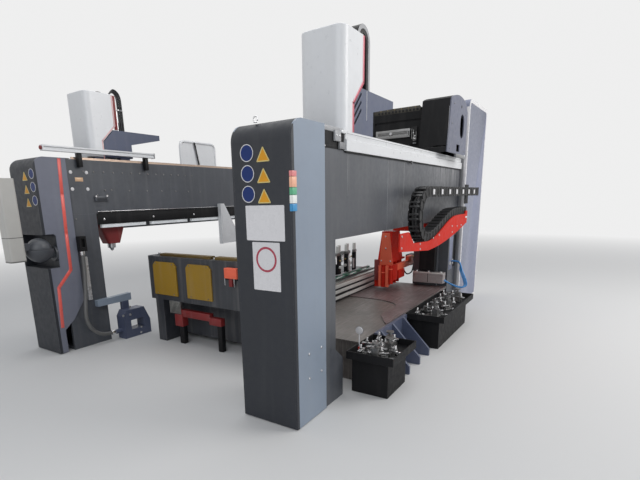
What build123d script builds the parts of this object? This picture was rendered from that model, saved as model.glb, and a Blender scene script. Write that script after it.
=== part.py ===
from build123d import *
import math
import os

# Friction stir welding machine: two parallel portals with a work table between them.
# Working axes: X runs along the beams, away from the end covers; Y runs from the near
# portal's outer face to the far portal's outer face; Z is up from the floor.
# The near portal is modelled first, and the far portal is its mirror image.

# Portals
PORTAL_HEIGHT = 1900.0
PORTAL_WIDTH = 440.0
PORTAL_SPAN = 3275.0
PORTAL_LENGTH = 3815.0
PLATE_T = 12.0
COVER_SHEET = 4.0
COVER_DEPTH = 373.0
COVER_RADIUS = 110.0
COVER_FLOOR_GAP = 6.0
INNER_PLATE_WIDTH = 319.0
LEG_SETBACK = 160.0
OUTER_LEG_LENGTH = 371.0
INNER_LEG_LENGTH = 423.0
OUTER_BEAM_WIDTH = 118.0
INNER_BEAM_WIDTH = 98.0
OUTER_BEAM_DEPTH = 581.0
INNER_BEAM_DEPTH = 529.0
BEAM_STEP = 132.0
BEAM_START = 130.0
BEAM_WALL = 15.0
LEG_WALL = 30.0
LEG_SLOT_HEIGHT = 260.0
LEG_SLOT_WIDTH = 26.0
GUSSET_LENGTH = 111.0
GUSSET_HEIGHT = 389.0

# Rails, ducts and strips on the beams
RAIL_WIDTH = 34.0
RAIL_HEIGHT = 28.0
RAIL_START = 660.0
OUTER_RAIL_Y = 108.0
INNER_RAIL_Y = 370.0
DUCT_START = 658.0
DUCT_OVERHANG = 20.0
DUCT_WIDTH = 82.0
DUCT_HEIGHT = 127.0
STRIP_WIDTH = 22.0
STRIP_HEIGHT = 22.0
LIGHT_LENGTH = 560.0
LIGHT_PITCH = 640.0
LIGHT_START = 640.0

# Guard panels at the rear end
GUARD_OVERLAP = 55.0
GUARD_LENGTH = 1010.0
GUARD_HEIGHT = 2570.0
GUARD_T = 70.0
GUARD_RADIUS = 90.0

# Carriages
SHOE_WIDTH = 60.0
SHOE_LENGTH = 120.0
SHOE_INSET = 40.0
RUNNING_GAP = 0.5
CARRIAGE_GAP = 45.0
BASE_T = 22.0
TOWER_X = 716.0
FAR_TOWER_SHIFT = -89.0
TOWER_LENGTH = 314.0
TOWER_LOW_LENGTH = 153.0
TOWER_RAM_SHIFT = 222.0
TOWER_Y = 50.0
TOWER_WIDTH = 354.0
TOWER_HEIGHT = 630.0
TOWER_SKIRT = 38.0
TOWER_SKIRT_LENGTH = 270.0
TOWER_SHEET = 4.0
TOWER_RADIUS = 70.0
TOWER_TOP_RADIUS = 10.0
KINK_LOW = 155.0
KINK_HIGH = 317.0
SADDLE_LENGTH = 735.0
SADDLE_NECK_LENGTH = 338.0
SADDLE_HEIGHT = 257.0
SADDLE_END_HEIGHT = 55.0
SADDLE_OVERHANG_RISE = 80.0
SADDLE_GAP = 8.0
SADDLE_WALL = 10.0
LOUVRE_COUNT = 3
LOUVRE_LENGTH = 170.0
LOUVRE_PITCH = 38.0
LOUVRE_DEPTH = 8.0
SADDLE_FRONT_WALL = 40.0
GUIDE_WALL = 25.0
GUIDE_HEIGHT = 120.0

# Rams and welding heads
RAM_SIZE = 140.0
RAM_LENGTH = 865.0
SLOT_RAM_Y = 230.0
HEAD_WIDTH = 300.0
HEAD_DEPTH = 150.0
HEAD_HEIGHT = 420.0
NEAR_HEAD_BOTTOM = 1270.0
FAR_HEAD_BOTTOM = 1029.0
NOSE_RADIUS = 45.0
NOSE_LENGTH = 50.0
NOSE_SEAT = 60.0
SEAT_GAP = 0.3
HEAD_RADIUS = 30.0
HEAD_FLANGE_T = 30.0
TOOL_RADIUS = 14.0
TOOL_LENGTH = 30.0
PIN_RADIUS = 4.0
PIN_LENGTH = 8.0

# Cross slide with the side welding head, on the near portal
DRUM_SETBACK = 1085.0
DRUM_LENGTH = 772.0
DRUM_Y = -88.0
DRUM_DEPTH = 288.0
DRUM_HEIGHT = 548.0
DRUM_SHOULDER = 485.0
DRUM_SKIRT = 46.0
DRUM_SLOT_SIZE = (250.0, 160.0)
DRUM_SLOT_PLACE = (550.0, 254.0)
DRUM_HOLE_SIZE = (130.0, 75.0)
DRUM_HOLE_PLACE = (421.0, 17.0)
DRUM_HOLE_RADIUS = 8.0
DRUM_WALL = 8.0
DRUM_PLATE_T = 12.0
CROSS_INSET = 140.0
CROSS_LENGTH = 570.0
CROSS_START = 30.0
CROSS_END = 760.0
CROSS_HEIGHT = 375.0
CROSS_WALL = 25.0
PAD_HEIGHT = 15.0
PAD_WIDTH = 60.0
DRUM_OPENING_GAP = 4.0
GUIDE_BAR_T = 20.0
GUIDE_BAR_HEIGHT = 90.0
SIDE_RAM_INSET = 270.0
SIDE_RAM_Y = 640.0
SIDE_RAM_BOTTOM = 1040.0
BRACKET_TOP_WIDTH = 240.0
BRACKET_WIDTH = 620.0
BRACKET_DEPTH = 150.0
BRACKET_TAPER = 330.0
BRACKET_BASE = 300.0
RIB_COUNT = 5
RIB_T = 22.0
RIB_DEPTH = 40.0
BRACKET_FLANGE_T = 20.0
EAR_SIZE = 120.0
SPINDLE_RADIUS = 95.0
SPINDLE_INSET = 60.0
SPINDLE_SEAT = 90.0
SPINDLE_FLANGE_RADIUS = 120.0
SPINDLE_FLANGE_T = 16.0

# Energy chain along the near portal, and its red support arm
CHAIN_Y = -147.5
CHAIN_WIDTH = 105.0
LINK_PITCH = 90.0
LINK_HEIGHT = 96.0
LINK_SIDE = 14.0
LINK_GAP = 0.8
CHAIN_TOP = 1490.0
CHAIN_BEND_LINKS = 7
CHAIN_BEND_BACK = 850.0
CHAIN_END_PLACE = 140.0
CHAIN_ARM_LINKS = 16
ARM_SHEET = 12.0
ARM_LEFT_BACK = 1578.0
ARM_LEFT_HEIGHT = 138.0
ARM_LIP_RISE = 137.0
ARM_LIP_LENGTH = 204.0
ARM_NOTCH_SLOPE = 120.0
ARM_RIM = 18.0
ARM_END_RISE = 32.0
ARM_SLOPE_LENGTH = 950.0
ARM_RISE = 190.0
ARM_DEPTH = 66.0
ARM_RIGHT_DEPTH = 74.0
ARM_BELLY = 1.7
HANGER_WIDTH = 180.0
HANGER_T = 35.0
HANGER_GAP = 5.0
HANGER_INSET = 60.0
ANCHOR_T = 12.0
SMALL_LINK_PITCH = 62.0
SMALL_LINK_HEIGHT = 50.0
SMALL_CHAIN_WIDTH = 120.0

# Chain loop behind each tower cover
LOOP_WIDTH = 70.0
LOOP_T = 60.0
LOOP_RADIUS = 75.0
LOOP_RISE = 74.0
LOOP_REACH = 100.0

# Work table and floor parts
TABLE_START = 850.0
TABLE_END = 3200.0
TABLE_SIDE_Y = 820.0
TABLE_HEIGHT = 560.0
TABLE_CLEARANCE = 60.0
DECK_T = 30.0
TABLE_WEB_T = 60.0
TABLE_WEB_COUNT = 4
PROFILE_T = 60.0
PROFILE_COUNT = 3
PROFILE_BOTTOM = 215.0
PROFILE_HEIGHT = 110.0
GROOVE_WIDTH = 10.0
GROOVE_LIP = 14.0
GROOVE_DEPTH = 24.0
BRIDGE_LENGTH = 200.0
BRIDGE_HEIGHT = 916.0
BRIDGE_BOTTOM = 460.0
BRIDGE_FRONT_T = 60.0
BRIDGE_SIDE_T = 90.0
BRIDGE_POST = 120.0
BRIDGE_CORNER = 40.0
PANEL_T = 14.0
PANEL_HEIGHT = 345.0
PANEL_LOW = 517.0
PANEL_NOTCH = 38.0
PANEL_SPANS = ((1515.0, 1855.0), (2000.0, 2348.0))
STRIP_SPANS = ((1180.0, 1500.0), (1560.0, 2280.0))
CLAMP_STRIP_T = 26.0
CLAMP_STRIP_WIDTH = 70.0
FLOOR_PLATE_Z = 330.0
FLOOR_PLATE_T = 12.0
TRAY_HEIGHT = 340.0
FLOOR_PLATE_START = 900.0
FLOOR_BEARER = 60.0
FLOOR_BEARER_COUNT = 3
TRAY_REACH = 370.0
TRAY_DEPTH = 60.0
TRAY_SHEET = 8.0
TRAY_SPANS = ((672.0, 1160.0), (1950.0, 3150.0))
PLINTH_INSET = 60.0
TRAY_BRACKET_SPAN = (1185.0, 1900.0)
TRAY_BRACKET_T = 30.0
TRAY_WEB_T = 24.0
CLAMP_SIZE = 120.0
CLAMP_PLACES = ((740.0, -210.0), (900.0, -250.0), (1060.0, -190.0), (2080.0, -250.0),
                (2300.0, -180.0), (2520.0, -250.0), (2740.0, -190.0), (2960.0, -240.0))

# Boxes on the near rear leg
VALVE_SPAN = (20.0, 400.0)
VALVE_LOW = 396.0
VALVE_HEIGHT = 132.0
VALVE_DEPTH = 96.0
CONTROL_SPAN = (140.0, 330.0)
CONTROL_LOW = 545.0
CONTROL_HEIGHT = 308.0
CONTROL_DEPTH = 72.0

# Pieces on the far portal
TOP_RAIL_SPAN = (90.0, 1350.0)
TOP_RAIL_RISE = 50.0
TOP_RAIL_HEIGHT = 50.0
TOP_RAIL_DEPTH = 50.0
STANDOFF_SHARES = (0.29, 0.92)
STANDOFF_WIDTH = 36.0
GUARD_WINDOW_SPAN = (2214.0, 2910.0)
GUARD_WINDOW_RISE = 380.0
GUARD_TUBE = 34.0
GUARD_TUBE_BEND = 70.0
GUARD_TUBE_DROP = 300.0
REAR_GUSSET_SPAN = (2400.0, 2830.0)
REAR_GUSSET_LOW = 880.0
REAR_GUSSET_T = 12.0
REAR_GUSSET_FLANGE = 60.0
CONDUIT_SPAN = (367.0, 410.0)
CONDUIT_LOW = 488.0
CONDUIT_HEIGHT = 450.0
CONDUIT_DEPTH = 25.0
SLOT_BOX_SPAN = (322.0, 392.0)
SLOT_BOX_LOW = 1000.0
SLOT_BOX_HEIGHT = 150.0
SLOT_BOX_WALL = 8.0
CLAMP_BAR_SPAN = (436.0, 844.0)
CLAMP_BAR_LOW = 405.0
CLAMP_BAR_HEIGHT = 79.0
CLAMP_BAR_DEPTH = 60.0
BASE_CLAMP_SPAN = (660.0, 1000.0)
BASE_CLAMP_HEIGHT = 316.0
BASE_CLAMP_WIDTH = 130.0
BASE_CLAMP_POST = 85.0
HOSE_RADIUS = 19.0
HOSE_ROUTE = ((350.0, 2806.0, 1000.0), (350.0, 2806.0, 880.0), (336.0, 2794.0, 740.0),
              (318.0, 2786.0, 590.0), (292.0, 2778.0, 450.0), (275.0, 2772.0, 330.0),
              (292.0, 2767.0, 240.0), (342.0, 2763.0, 164.0), (417.0, 2760.0, 114.0),
              (503.0, 2760.0, 97.0), (580.0, 2760.0, 96.0))

# Operator console on the far portal
RECESS_LOW = 865.0
RECESS_HIGH = 1190.0
RECESS_DEPTH = 124.0
CONSOLE_X = -20.0
CONSOLE_Y = 2900.0
CONSOLE_Z = 1030.0
DOME_RADIUS = 125.0
KNUCKLE_SPLIT = 25.0
CONSOLE_ARM_RADIUS = 45.0
CONSOLE_FLANGE_RADIUS = 75.0
CONSOLE_FLANGE_T = 18.0
NECK_SIZE = 64.0
COLUMN_RADIUS = 22.0
CONSOLE_REACH = 220.0
COLUMN_LENGTH = 140.0
COLUMN_WIDTH = 130.0
COLUMN_HEIGHT = 740.0
COLUMN_BOTTOM = 960.0

# Heights and edges that follow from the sizes above
INNER_TOP = PORTAL_HEIGHT - COVER_SHEET - 3.0
INNER_BOTTOM = INNER_TOP - INNER_BEAM_DEPTH
OUTER_TOP = INNER_TOP - BEAM_STEP
OUTER_BOTTOM = OUTER_TOP - OUTER_BEAM_DEPTH
OUTER_IN = PLATE_T + OUTER_BEAM_WIDTH
INNER_OUT = PORTAL_WIDTH - PLATE_T
INNER_IN = INNER_OUT - INNER_BEAM_WIDTH
FRONT_LEG_END = LEG_SETBACK + OUTER_LEG_LENGTH
REAR_LEG_START = PORTAL_LENGTH - OUTER_LEG_LENGTH
BASE_BOTTOM = INNER_TOP + CARRIAGE_GAP
BASE_TOP = BASE_BOTTOM + BASE_T
CROSS_BOTTOM = BASE_TOP + PAD_HEIGHT
TOP_RAIL_LOW = PORTAL_HEIGHT + TOP_RAIL_RISE
GUARD_TUBE_LOW = PORTAL_HEIGHT - GUARD_TUBE_DROP
DRUM_X = PORTAL_LENGTH - DRUM_SETBACK
CROSS_X = DRUM_X + CROSS_INSET
SIDE_RAM_X = CROSS_X + SIDE_RAM_INSET
CONSOLE_FRONT = CONSOLE_X - CONSOLE_REACH - COLUMN_LENGTH / 2
GUARD_START = PORTAL_LENGTH - GUARD_OVERLAP
GUARD_END = GUARD_START + GUARD_LENGTH
GUARD_OUT = PLATE_T - GUARD_T

CHAIN_BEND_X = DRUM_X - CHAIN_BEND_BACK
ARM_LEFT = DRUM_X - ARM_LEFT_BACK
CHAIN_TURN = math.pi / CHAIN_BEND_LINKS
CHAIN_BEND_RADIUS = LINK_PITCH / 2 / math.sin(CHAIN_TURN / 2)
CHAIN_TOP_LINKS = int((GUARD_START + CHAIN_END_PLACE - CHAIN_BEND_X) / LINK_PITCH)

# The part's origin is the middle of its bounding box, at floor level
ORIGIN_X = (CONSOLE_FRONT + GUARD_END) / 2
ORIGIN_Y = (PORTAL_SPAN - GUARD_OUT - TRAY_REACH) / 2


def block(x, y, z):
    size = Box(x[1] - x[0], y[1] - y[0], z[1] - z[0])
    return Pos((x[0] + x[1]) / 2, (y[0] + y[1]) / 2, (z[0] + z[1]) / 2) * size


def centred(middle, size):
    return middle - size / 2, middle + size / 2


def outline(*points):
    return make_face(Polyline(*points, close=True))


def along_y(sketch, y):
    return extrude(Pos(0, y[0], 0) * (Plane.XZ * sketch), amount=y[0] - y[1])


def along_x(sketch, x):
    return extrude(Pos(x[0], 0, 0) * (Plane.YZ * sketch), amount=x[1] - x[0])


def along_z(sketch, z):
    return extrude(Pos(0, 0, z[0]) * sketch, amount=z[1] - z[0])


def cylinder_y(radius, x, z, y):
    return along_y(Pos(x, z) * Circle(radius), y)


def cylinder_z(radius, x, y, z):
    return along_z(Pos(x, y) * Circle(radius), z)


def mirrored(shape):
    return Pos(0, PORTAL_SPAN, 0) * mirror(shape, about=Plane.XZ)


def save(name, *shapes):
    solids = [solid for shape in shapes for solid in shape.solids()]
    placed = [Pos(-ORIGIN_X, -ORIGIN_Y, 0) * solid for solid in solids]
    whole = placed[0] if len(placed) == 1 else Compound(placed)
    export_step(whole, f"parts/{name}.step")


# Portal frame
def front_leg():
    leg = block((LEG_SETBACK, FRONT_LEG_END), (PLATE_T, INNER_OUT), (0, OUTER_BOTTOM))
    inner_end = LEG_SETBACK + INNER_LEG_LENGTH
    leg += block((LEG_SETBACK, inner_end), (OUTER_IN, INNER_OUT), (0, INNER_BOTTOM))
    leg += block((LEG_SETBACK, FRONT_LEG_END), (OUTER_IN, INNER_IN), (INNER_BOTTOM, OUTER_TOP))
    leg += along_y(foot_gusset(FRONT_LEG_END, 1), (PLATE_T, OUTER_IN))
    pocket_y = (PLATE_T + LEG_WALL, INNER_OUT - LEG_WALL)
    pocket_z = (LEG_WALL, OUTER_BOTTOM - LEG_WALL)
    return leg - block((LEG_SETBACK - 1, FRONT_LEG_END - LEG_WALL), pocket_y, pocket_z)


def foot_gusset(x, way):
    low = GUSSET_HEIGHT - 0.8 * GUSSET_LENGTH
    reach = x + way * GUSSET_LENGTH
    return outline((x, 0), (reach, 0), (reach, low), (x, GUSSET_HEIGHT))


def rear_leg():
    inner_start = PORTAL_LENGTH - INNER_LEG_LENGTH
    leg = block((REAR_LEG_START, PORTAL_LENGTH), (PLATE_T, INNER_OUT), (0, OUTER_BOTTOM))
    leg += block((inner_start, PORTAL_LENGTH), (OUTER_IN, INNER_OUT), (0, INNER_BOTTOM))
    leg += block((REAR_LEG_START, PORTAL_LENGTH), (OUTER_IN, INNER_IN), (INNER_BOTTOM, OUTER_TOP))
    pocket_x = (REAR_LEG_START + LEG_WALL, PORTAL_LENGTH - LEG_WALL)
    pocket_y = (PLATE_T + LEG_WALL, INNER_OUT - LEG_WALL)
    leg -= block(pocket_x, pocket_y, (LEG_WALL, OUTER_BOTTOM - LEG_WALL))
    slot = SlotOverall(LEG_SLOT_HEIGHT, LEG_SLOT_WIDTH, rotation=90)
    for row in range(2):
        for column in range(2):
            y = (0.36 + 0.28 * column) * PORTAL_WIDTH
            z = (0.5 + 0.28 * row) * OUTER_BOTTOM
            leg -= along_x(Pos(y, z) * slot, (inner_start - 1, REAR_LEG_START + LEG_WALL + 1))
    return leg


def hollow_beam(y, z):
    beam = block((BEAM_START, PORTAL_LENGTH), y, z)
    inside_y = (y[0] + BEAM_WALL, y[1] - BEAM_WALL)
    inside_z = (z[0] + BEAM_WALL, z[1] - BEAM_WALL)
    return beam - block((BEAM_START - 1, PORTAL_LENGTH - BEAM_WALL), inside_y, inside_z)


def outer_beam():
    beam = hollow_beam((PLATE_T, OUTER_IN), (OUTER_BOTTOM, OUTER_TOP))
    box_x = (COVER_DEPTH, DUCT_START - 18)
    box_z = (OUTER_TOP, PORTAL_HEIGHT - 2)
    box = block(box_x, (PLATE_T, OUTER_IN - 15), box_z)
    return beam + box - block((COVER_DEPTH + 12, DUCT_START), (PLATE_T + 12, OUTER_IN - 27),
                              (OUTER_TOP + 12, PORTAL_HEIGHT - 14))


def inner_beam():
    return hollow_beam((INNER_IN, INNER_OUT), (INNER_BOTTOM, INNER_TOP))


# End covers and side plates
def cover_corner(low, inset):
    length = COVER_DEPTH - inset
    height = PORTAL_HEIGHT - inset - low
    sheet = Pos(inset + length / 2, low + height / 2) * Rectangle(length, height)
    corner = sheet.vertices().group_by(Axis.Y)[-1].sort_by(Axis.X)[0]
    return fillet(corner, COVER_RADIUS - inset)


def end_cover(recessed):
    y = (PLATE_T, INNER_OUT)
    cover = along_y(cover_corner(COVER_FLOOR_GAP, 0), y)
    cover -= along_y(cover_corner(COVER_FLOOR_GAP - 1, COVER_SHEET), y)
    if recessed:
        cover -= block((-1, COVER_SHEET + 1), y, (RECESS_LOW, RECESS_HIGH))
        outside = recess_side(0)
        inside = recess_side(COVER_SHEET)
        cover += along_y(outside - inside, y)
        cover += block((COVER_SHEET, RECESS_DEPTH), (y[0], y[0] + COVER_SHEET), (RECESS_LOW, RECESS_HIGH))
    return cover


def recess_side(sheet):
    low = RECESS_LOW + sheet
    high = RECESS_HIGH - sheet
    back = RECESS_DEPTH - sheet
    front = -sheet
    return outline((front, low), (back, low), (back, high - 20), (back - 20, high), (front, high))


def outer_plate():
    return along_y(cover_corner(COVER_FLOOR_GAP, 0), (0, PLATE_T))


def inner_plate(recessed):
    edge = INNER_PLATE_WIDTH
    plate = cover_corner(COVER_FLOOR_GAP, 0)
    plate -= Pos(edge + COVER_DEPTH / 2, PORTAL_HEIGHT / 2) * Rectangle(COVER_DEPTH, 2 * PORTAL_HEIGHT)
    foot = outline((0.26 * edge, 0), (0.26 * edge, 236), (0.6 * edge, 325), (0.94 * edge, 480),
                   (edge, 520), (edge + 1, 520), (edge + 1, 0))
    plate -= foot
    if recessed:
        plate -= recess_side(0)
    return along_y(plate, (INNER_OUT, PORTAL_WIDTH))


# Pieces that lie on the beams
def cable_duct():
    low = OUTER_TOP
    front = PLATE_T - DUCT_OVERHANG
    back = front + DUCT_WIDTH
    step = 0.55 * DUCT_HEIGHT
    section = outline((front, low), (back, low), (back, low + DUCT_HEIGHT), (front + 12, low + DUCT_HEIGHT),
                      (front + 12, low + step + 8), (front, low + step))
    hollow = outline((PLATE_T - 1 + 5, low - 1), (back - 4, low - 1), (back - 4, low + DUCT_HEIGHT - 4),
                     (PLATE_T - 1 + 5, low + DUCT_HEIGHT - 4))
    return along_x(section - hollow, (DUCT_START, GUARD_START - 5))


def rail(y, z):
    return block((RAIL_START, PORTAL_LENGTH - 20), centred(y, RAIL_WIDTH), (z, z + RAIL_HEIGHT))


def rails():
    return [rail(OUTER_RAIL_Y, OUTER_TOP), rail(INNER_RAIL_Y, INNER_TOP)]


def edge_strip():
    return block((COVER_DEPTH + 20, PORTAL_LENGTH), (INNER_OUT - STRIP_WIDTH, INNER_OUT),
                 (INNER_TOP, INNER_TOP + STRIP_HEIGHT))


def light_bars():
    bars = []
    room = PORTAL_LENGTH - INNER_LEG_LENGTH - LIGHT_START
    for place in range(int(room / LIGHT_PITCH)):
        start = LIGHT_START + place * LIGHT_PITCH
        section = outline((INNER_IN + 20, INNER_BOTTOM), (INNER_OUT - 10, INNER_BOTTOM),
                          (INNER_OUT - 25, INNER_BOTTOM - 34), (INNER_IN + 35, INNER_BOTTOM - 34))
        bars.append(along_x(section, (start, start + LIGHT_LENGTH)))
    return bars


def guard_panel():
    middle = Pos(GUARD_START + GUARD_LENGTH / 2, GUARD_HEIGHT / 2)
    panel = middle * Rectangle(GUARD_LENGTH, GUARD_HEIGHT)
    panel = fillet(panel.vertices().group_by(Axis.Y)[-1], GUARD_RADIUS)
    return along_y(panel, (GUARD_OUT, PLATE_T))


# Carriage with its runner shoes
def shoe(x, y, top):
    low = top + 6
    body = block((x, x + SHOE_LENGTH), centred(y, SHOE_WIDTH), (low, BASE_BOTTOM))
    groove = centred(y, RAIL_WIDTH + 2 * RUNNING_GAP)
    return body - block((x - 1, x + SHOE_LENGTH + 1), groove, (low - 1, top + RAIL_HEIGHT + RUNNING_GAP))


def carriage_base(x, length):
    y = (TOWER_Y + TOWER_SHEET, TOWER_Y + TOWER_WIDTH - TOWER_SHEET)
    base = block((x, x + length), y, (BASE_BOTTOM, BASE_TOP))
    for start in (x + SHOE_INSET, x + length - SHOE_LENGTH - SHOE_INSET):
        base += shoe(start, OUTER_RAIL_Y, OUTER_TOP)
        base += shoe(start, INNER_RAIL_Y, INNER_TOP)
    return base


# Tower carriage: base, tower cover, saddle cover, ram and upright welding head
def tower_saddle():
    low_x = TOWER_X + TOWER_LOW_LENGTH + SADDLE_GAP
    neck_x = low_x + SADDLE_NECK_LENGTH
    end_x = low_x + SADDLE_LENGTH
    low_z = BASE_TOP
    kink_low = BASE_BOTTOM + KINK_LOW - SADDLE_GAP / 2
    top = BASE_TOP + SADDLE_HEIGHT
    end_z = top - SADDLE_END_HEIGHT
    neck_z = end_z - SADDLE_OVERHANG_RISE
    slope = math.atan2(KINK_HIGH - KINK_LOW, TOWER_LENGTH - TOWER_LOW_LENGTH)
    slant_x = low_x + (top - kink_low) / math.tan(slope)
    y = (TOWER_Y + TOWER_SHEET, TOWER_Y + TOWER_WIDTH - TOWER_SHEET)
    side = outline((low_x, low_z), (neck_x, low_z), (neck_x, neck_z), (end_x, end_z), (end_x, top),
                   (slant_x, top), (low_x, kink_low))
    body = along_y(side, y)
    wall = SADDLE_WALL
    front = SADDLE_FRONT_WALL
    inner = outline((low_x + front, low_z - 1), (neck_x - wall, low_z - 1), (neck_x - wall, neck_z + wall),
                    (end_x - wall, end_z + wall), (end_x - wall, top - wall), (slant_x + front, top - wall),
                    (low_x + front, kink_low - wall))
    body -= along_y(inner, (y[0] + wall + LOUVRE_DEPTH, y[1] - wall))
    middle_x = low_x + SADDLE_GAP + LOUVRE_LENGTH / 2 * math.cos(slope)
    middle_z = kink_low + LOUVRE_LENGTH / 2 * math.sin(slope)
    for row in range(LOUVRE_COUNT):
        drop = LOUVRE_PITCH * (row + 0.5) / math.cos(slope)
        place = Pos(middle_x, middle_z - drop) * Rot(0, 0, math.degrees(slope))
        louvre = place * SlotOverall(LOUVRE_LENGTH, LOUVRE_PITCH / 2)
        body -= along_y(louvre, (y[0] - 1, y[0] + LOUVRE_DEPTH))
    base = carriage_base(TOWER_X + TOWER_SHEET, neck_x - TOWER_X - TOWER_SHEET)
    base = fillet(base.edges().filter_by(Axis.Z).group_by(Axis.X)[0], TOWER_RADIUS - TOWER_SHEET)
    base += block((low_x, neck_x), (y[0], y[0] + wall), (BASE_BOTTOM - TOWER_SKIRT, BASE_BOTTOM))
    hole_x, hole_y = ram_hole(ram_x(), SLOT_RAM_Y)
    guide = RAM_SIZE + 2 * GUIDE_WALL
    guide = block(centred(ram_x(), guide), centred(SLOT_RAM_Y, guide), (BASE_TOP, BASE_TOP + GUIDE_HEIGHT))
    return base + body + guide - block(hole_x, hole_y, (BASE_BOTTOM - 1, top + 1))


def ram_x():
    return TOWER_X + TOWER_RAM_SHIFT


def tower_cover():
    x = TOWER_X
    base = BASE_BOTTOM
    low = base - TOWER_SKIRT
    high = base + TOWER_HEIGHT
    side = outline((x, low), (x + TOWER_LOW_LENGTH, low), (x + TOWER_LOW_LENGTH, base + KINK_LOW),
                   (x + TOWER_LENGTH, base + KINK_HIGH), (x + TOWER_LENGTH, high), (x, high))
    t = TOWER_SHEET
    inner_x = (x + t, x + TOWER_LOW_LENGTH + 1, x + TOWER_LENGTH - t)
    inner = outline((inner_x[0], low - 1), (inner_x[1], low - 1), (inner_x[1], base + KINK_LOW),
                    (inner_x[2], base + KINK_HIGH), (inner_x[2], high - t), (inner_x[0], high - t))
    cover = rounded_front(along_y(side, (TOWER_Y, TOWER_Y + TOWER_WIDTH)), TOWER_RADIUS)
    cover = fillet(cover.faces().sort_by(Axis.Z)[-1].edges(), TOWER_TOP_RADIUS)
    hollow = rounded_front(along_y(inner, (TOWER_Y + t, TOWER_Y + TOWER_WIDTH - t)), TOWER_RADIUS - t)
    cover -= hollow
    skirt_end = TOWER_Y + TOWER_SKIRT_LENGTH
    cover -= block((x - 1, x + TOWER_LENGTH), (skirt_end, TOWER_Y + TOWER_WIDTH + 1), (low - 1, base))
    return cover - block(*ram_hole(ram_x(), SLOT_RAM_Y), (low, base + KINK_HIGH + t))


def rounded_front(body, radius):
    return fillet(body.edges().filter_by(Axis.Z).group_by(Axis.X)[0], radius)


def ram_hole(x, y):
    size = RAM_SIZE + 2 * RUNNING_GAP
    return centred(x, size), centred(y, size)


# The chain loop stands on the saddle and bends over to the top of the tower cover
def tower_chain():
    high = BASE_BOTTOM + TOWER_HEIGHT
    outer_x = TOWER_X + TOWER_LENGTH + LOOP_REACH
    inner_x = outer_x - 2 * LOOP_RADIUS
    crown = high + LOOP_RISE - LOOP_RADIUS - LOOP_T / 2
    path = Line((outer_x, BASE_TOP + SADDLE_HEIGHT), (outer_x, crown))
    arch = ThreePointArc((outer_x, crown), (outer_x - LOOP_RADIUS, crown + LOOP_RADIUS), (inner_x, crown))
    band_y = (TOWER_Y + TOWER_SHEET + 10, TOWER_Y + TOWER_SHEET + 10 + LOOP_WIDTH)
    band = along_y(trace([path, arch], line_width=LOOP_T), band_y)
    return band - block((TOWER_X, TOWER_X + TOWER_LENGTH), band_y, (crown - LOOP_T, high))


def square_ram(x, y, bottom, top):
    return block(centred(x, RAM_SIZE), centred(y, RAM_SIZE), (bottom, top))


def upright_head(bottom):
    x = ram_x()
    top = bottom + HEAD_HEIGHT
    waist_z = bottom + 0.45 * HEAD_HEIGHT
    neck_z = top - HEAD_FLANGE_T
    low = Pos(x, SLOT_RAM_Y, bottom) * RectangleRounded(HEAD_DEPTH, HEAD_DEPTH, HEAD_RADIUS)
    waist = Pos(x, SLOT_RAM_Y, waist_z) * RectangleRounded(HEAD_WIDTH, HEAD_DEPTH, HEAD_RADIUS)
    neck = Pos(x, SLOT_RAM_Y, neck_z) * RectangleRounded(RAM_SIZE, RAM_SIZE, HEAD_RADIUS)
    body = loft([low, waist], ruled=True) + loft([waist, neck], ruled=True)
    flange = block(centred(x, RAM_SIZE + 2 * GUIDE_WALL), centred(SLOT_RAM_Y, HEAD_DEPTH), (neck_z, top))
    bore = cylinder_z(NOSE_RADIUS + RUNNING_GAP, x, SLOT_RAM_Y, (bottom - 1, bottom + NOSE_SEAT))
    return body + flange - bore


def stir_tool():
    nose = cylinder_z(NOSE_RADIUS, 0, 0, (-NOSE_LENGTH, NOSE_SEAT - SEAT_GAP))
    nose += Pos(0, 0, -NOSE_LENGTH - TOOL_LENGTH / 2) * Cone(TOOL_RADIUS, NOSE_RADIUS * 0.6, TOOL_LENGTH)
    tip = -NOSE_LENGTH - TOOL_LENGTH
    return nose + cylinder_z(PIN_RADIUS, 0, 0, (tip - PIN_LENGTH, tip))


# Energy chain: links along a path of places, each with its slope
def chain_link(pitch, height, width):
    half = (pitch - LINK_GAP) / 2
    nose = 0.16 * pitch
    side = outline((-half, 0), (nose - half, -height / 2), (half - nose, -height / 2), (half, 0),
                   (half - nose, height / 2), (nose - half, height / 2))
    link = along_y(side, (-width / 2, LINK_SIDE - width / 2))
    link += along_y(side, (width / 2 - LINK_SIDE, width / 2))
    bar_y = (LINK_SIDE - width / 2, width / 2 - LINK_SIDE)
    for low in (-height / 2, height / 2 - 8):
        link += block((-0.18 * pitch, 0.18 * pitch), bar_y, (low, low + 8))
    return link


def smooth_share(x):
    share = min(max((x - CHAIN_BEND_X) / ARM_SLOPE_LENGTH, 0), 1)
    return share * share * (3 - 2 * share)


def arm_chain_height(x):
    return CHAIN_TOP - 2 * CHAIN_BEND_RADIUS + ARM_RISE * smooth_share(x)


def arm_joints():
    joints = [(CHAIN_BEND_X, arm_chain_height(CHAIN_BEND_X))]
    for link in range(CHAIN_ARM_LINKS):
        x, z = joints[-1]
        slope = math.atan2(arm_chain_height(x + LINK_PITCH) - z, LINK_PITCH)
        joints.append((x + LINK_PITCH * math.cos(slope), z + LINK_PITCH * math.sin(slope)))
    return joints


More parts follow.
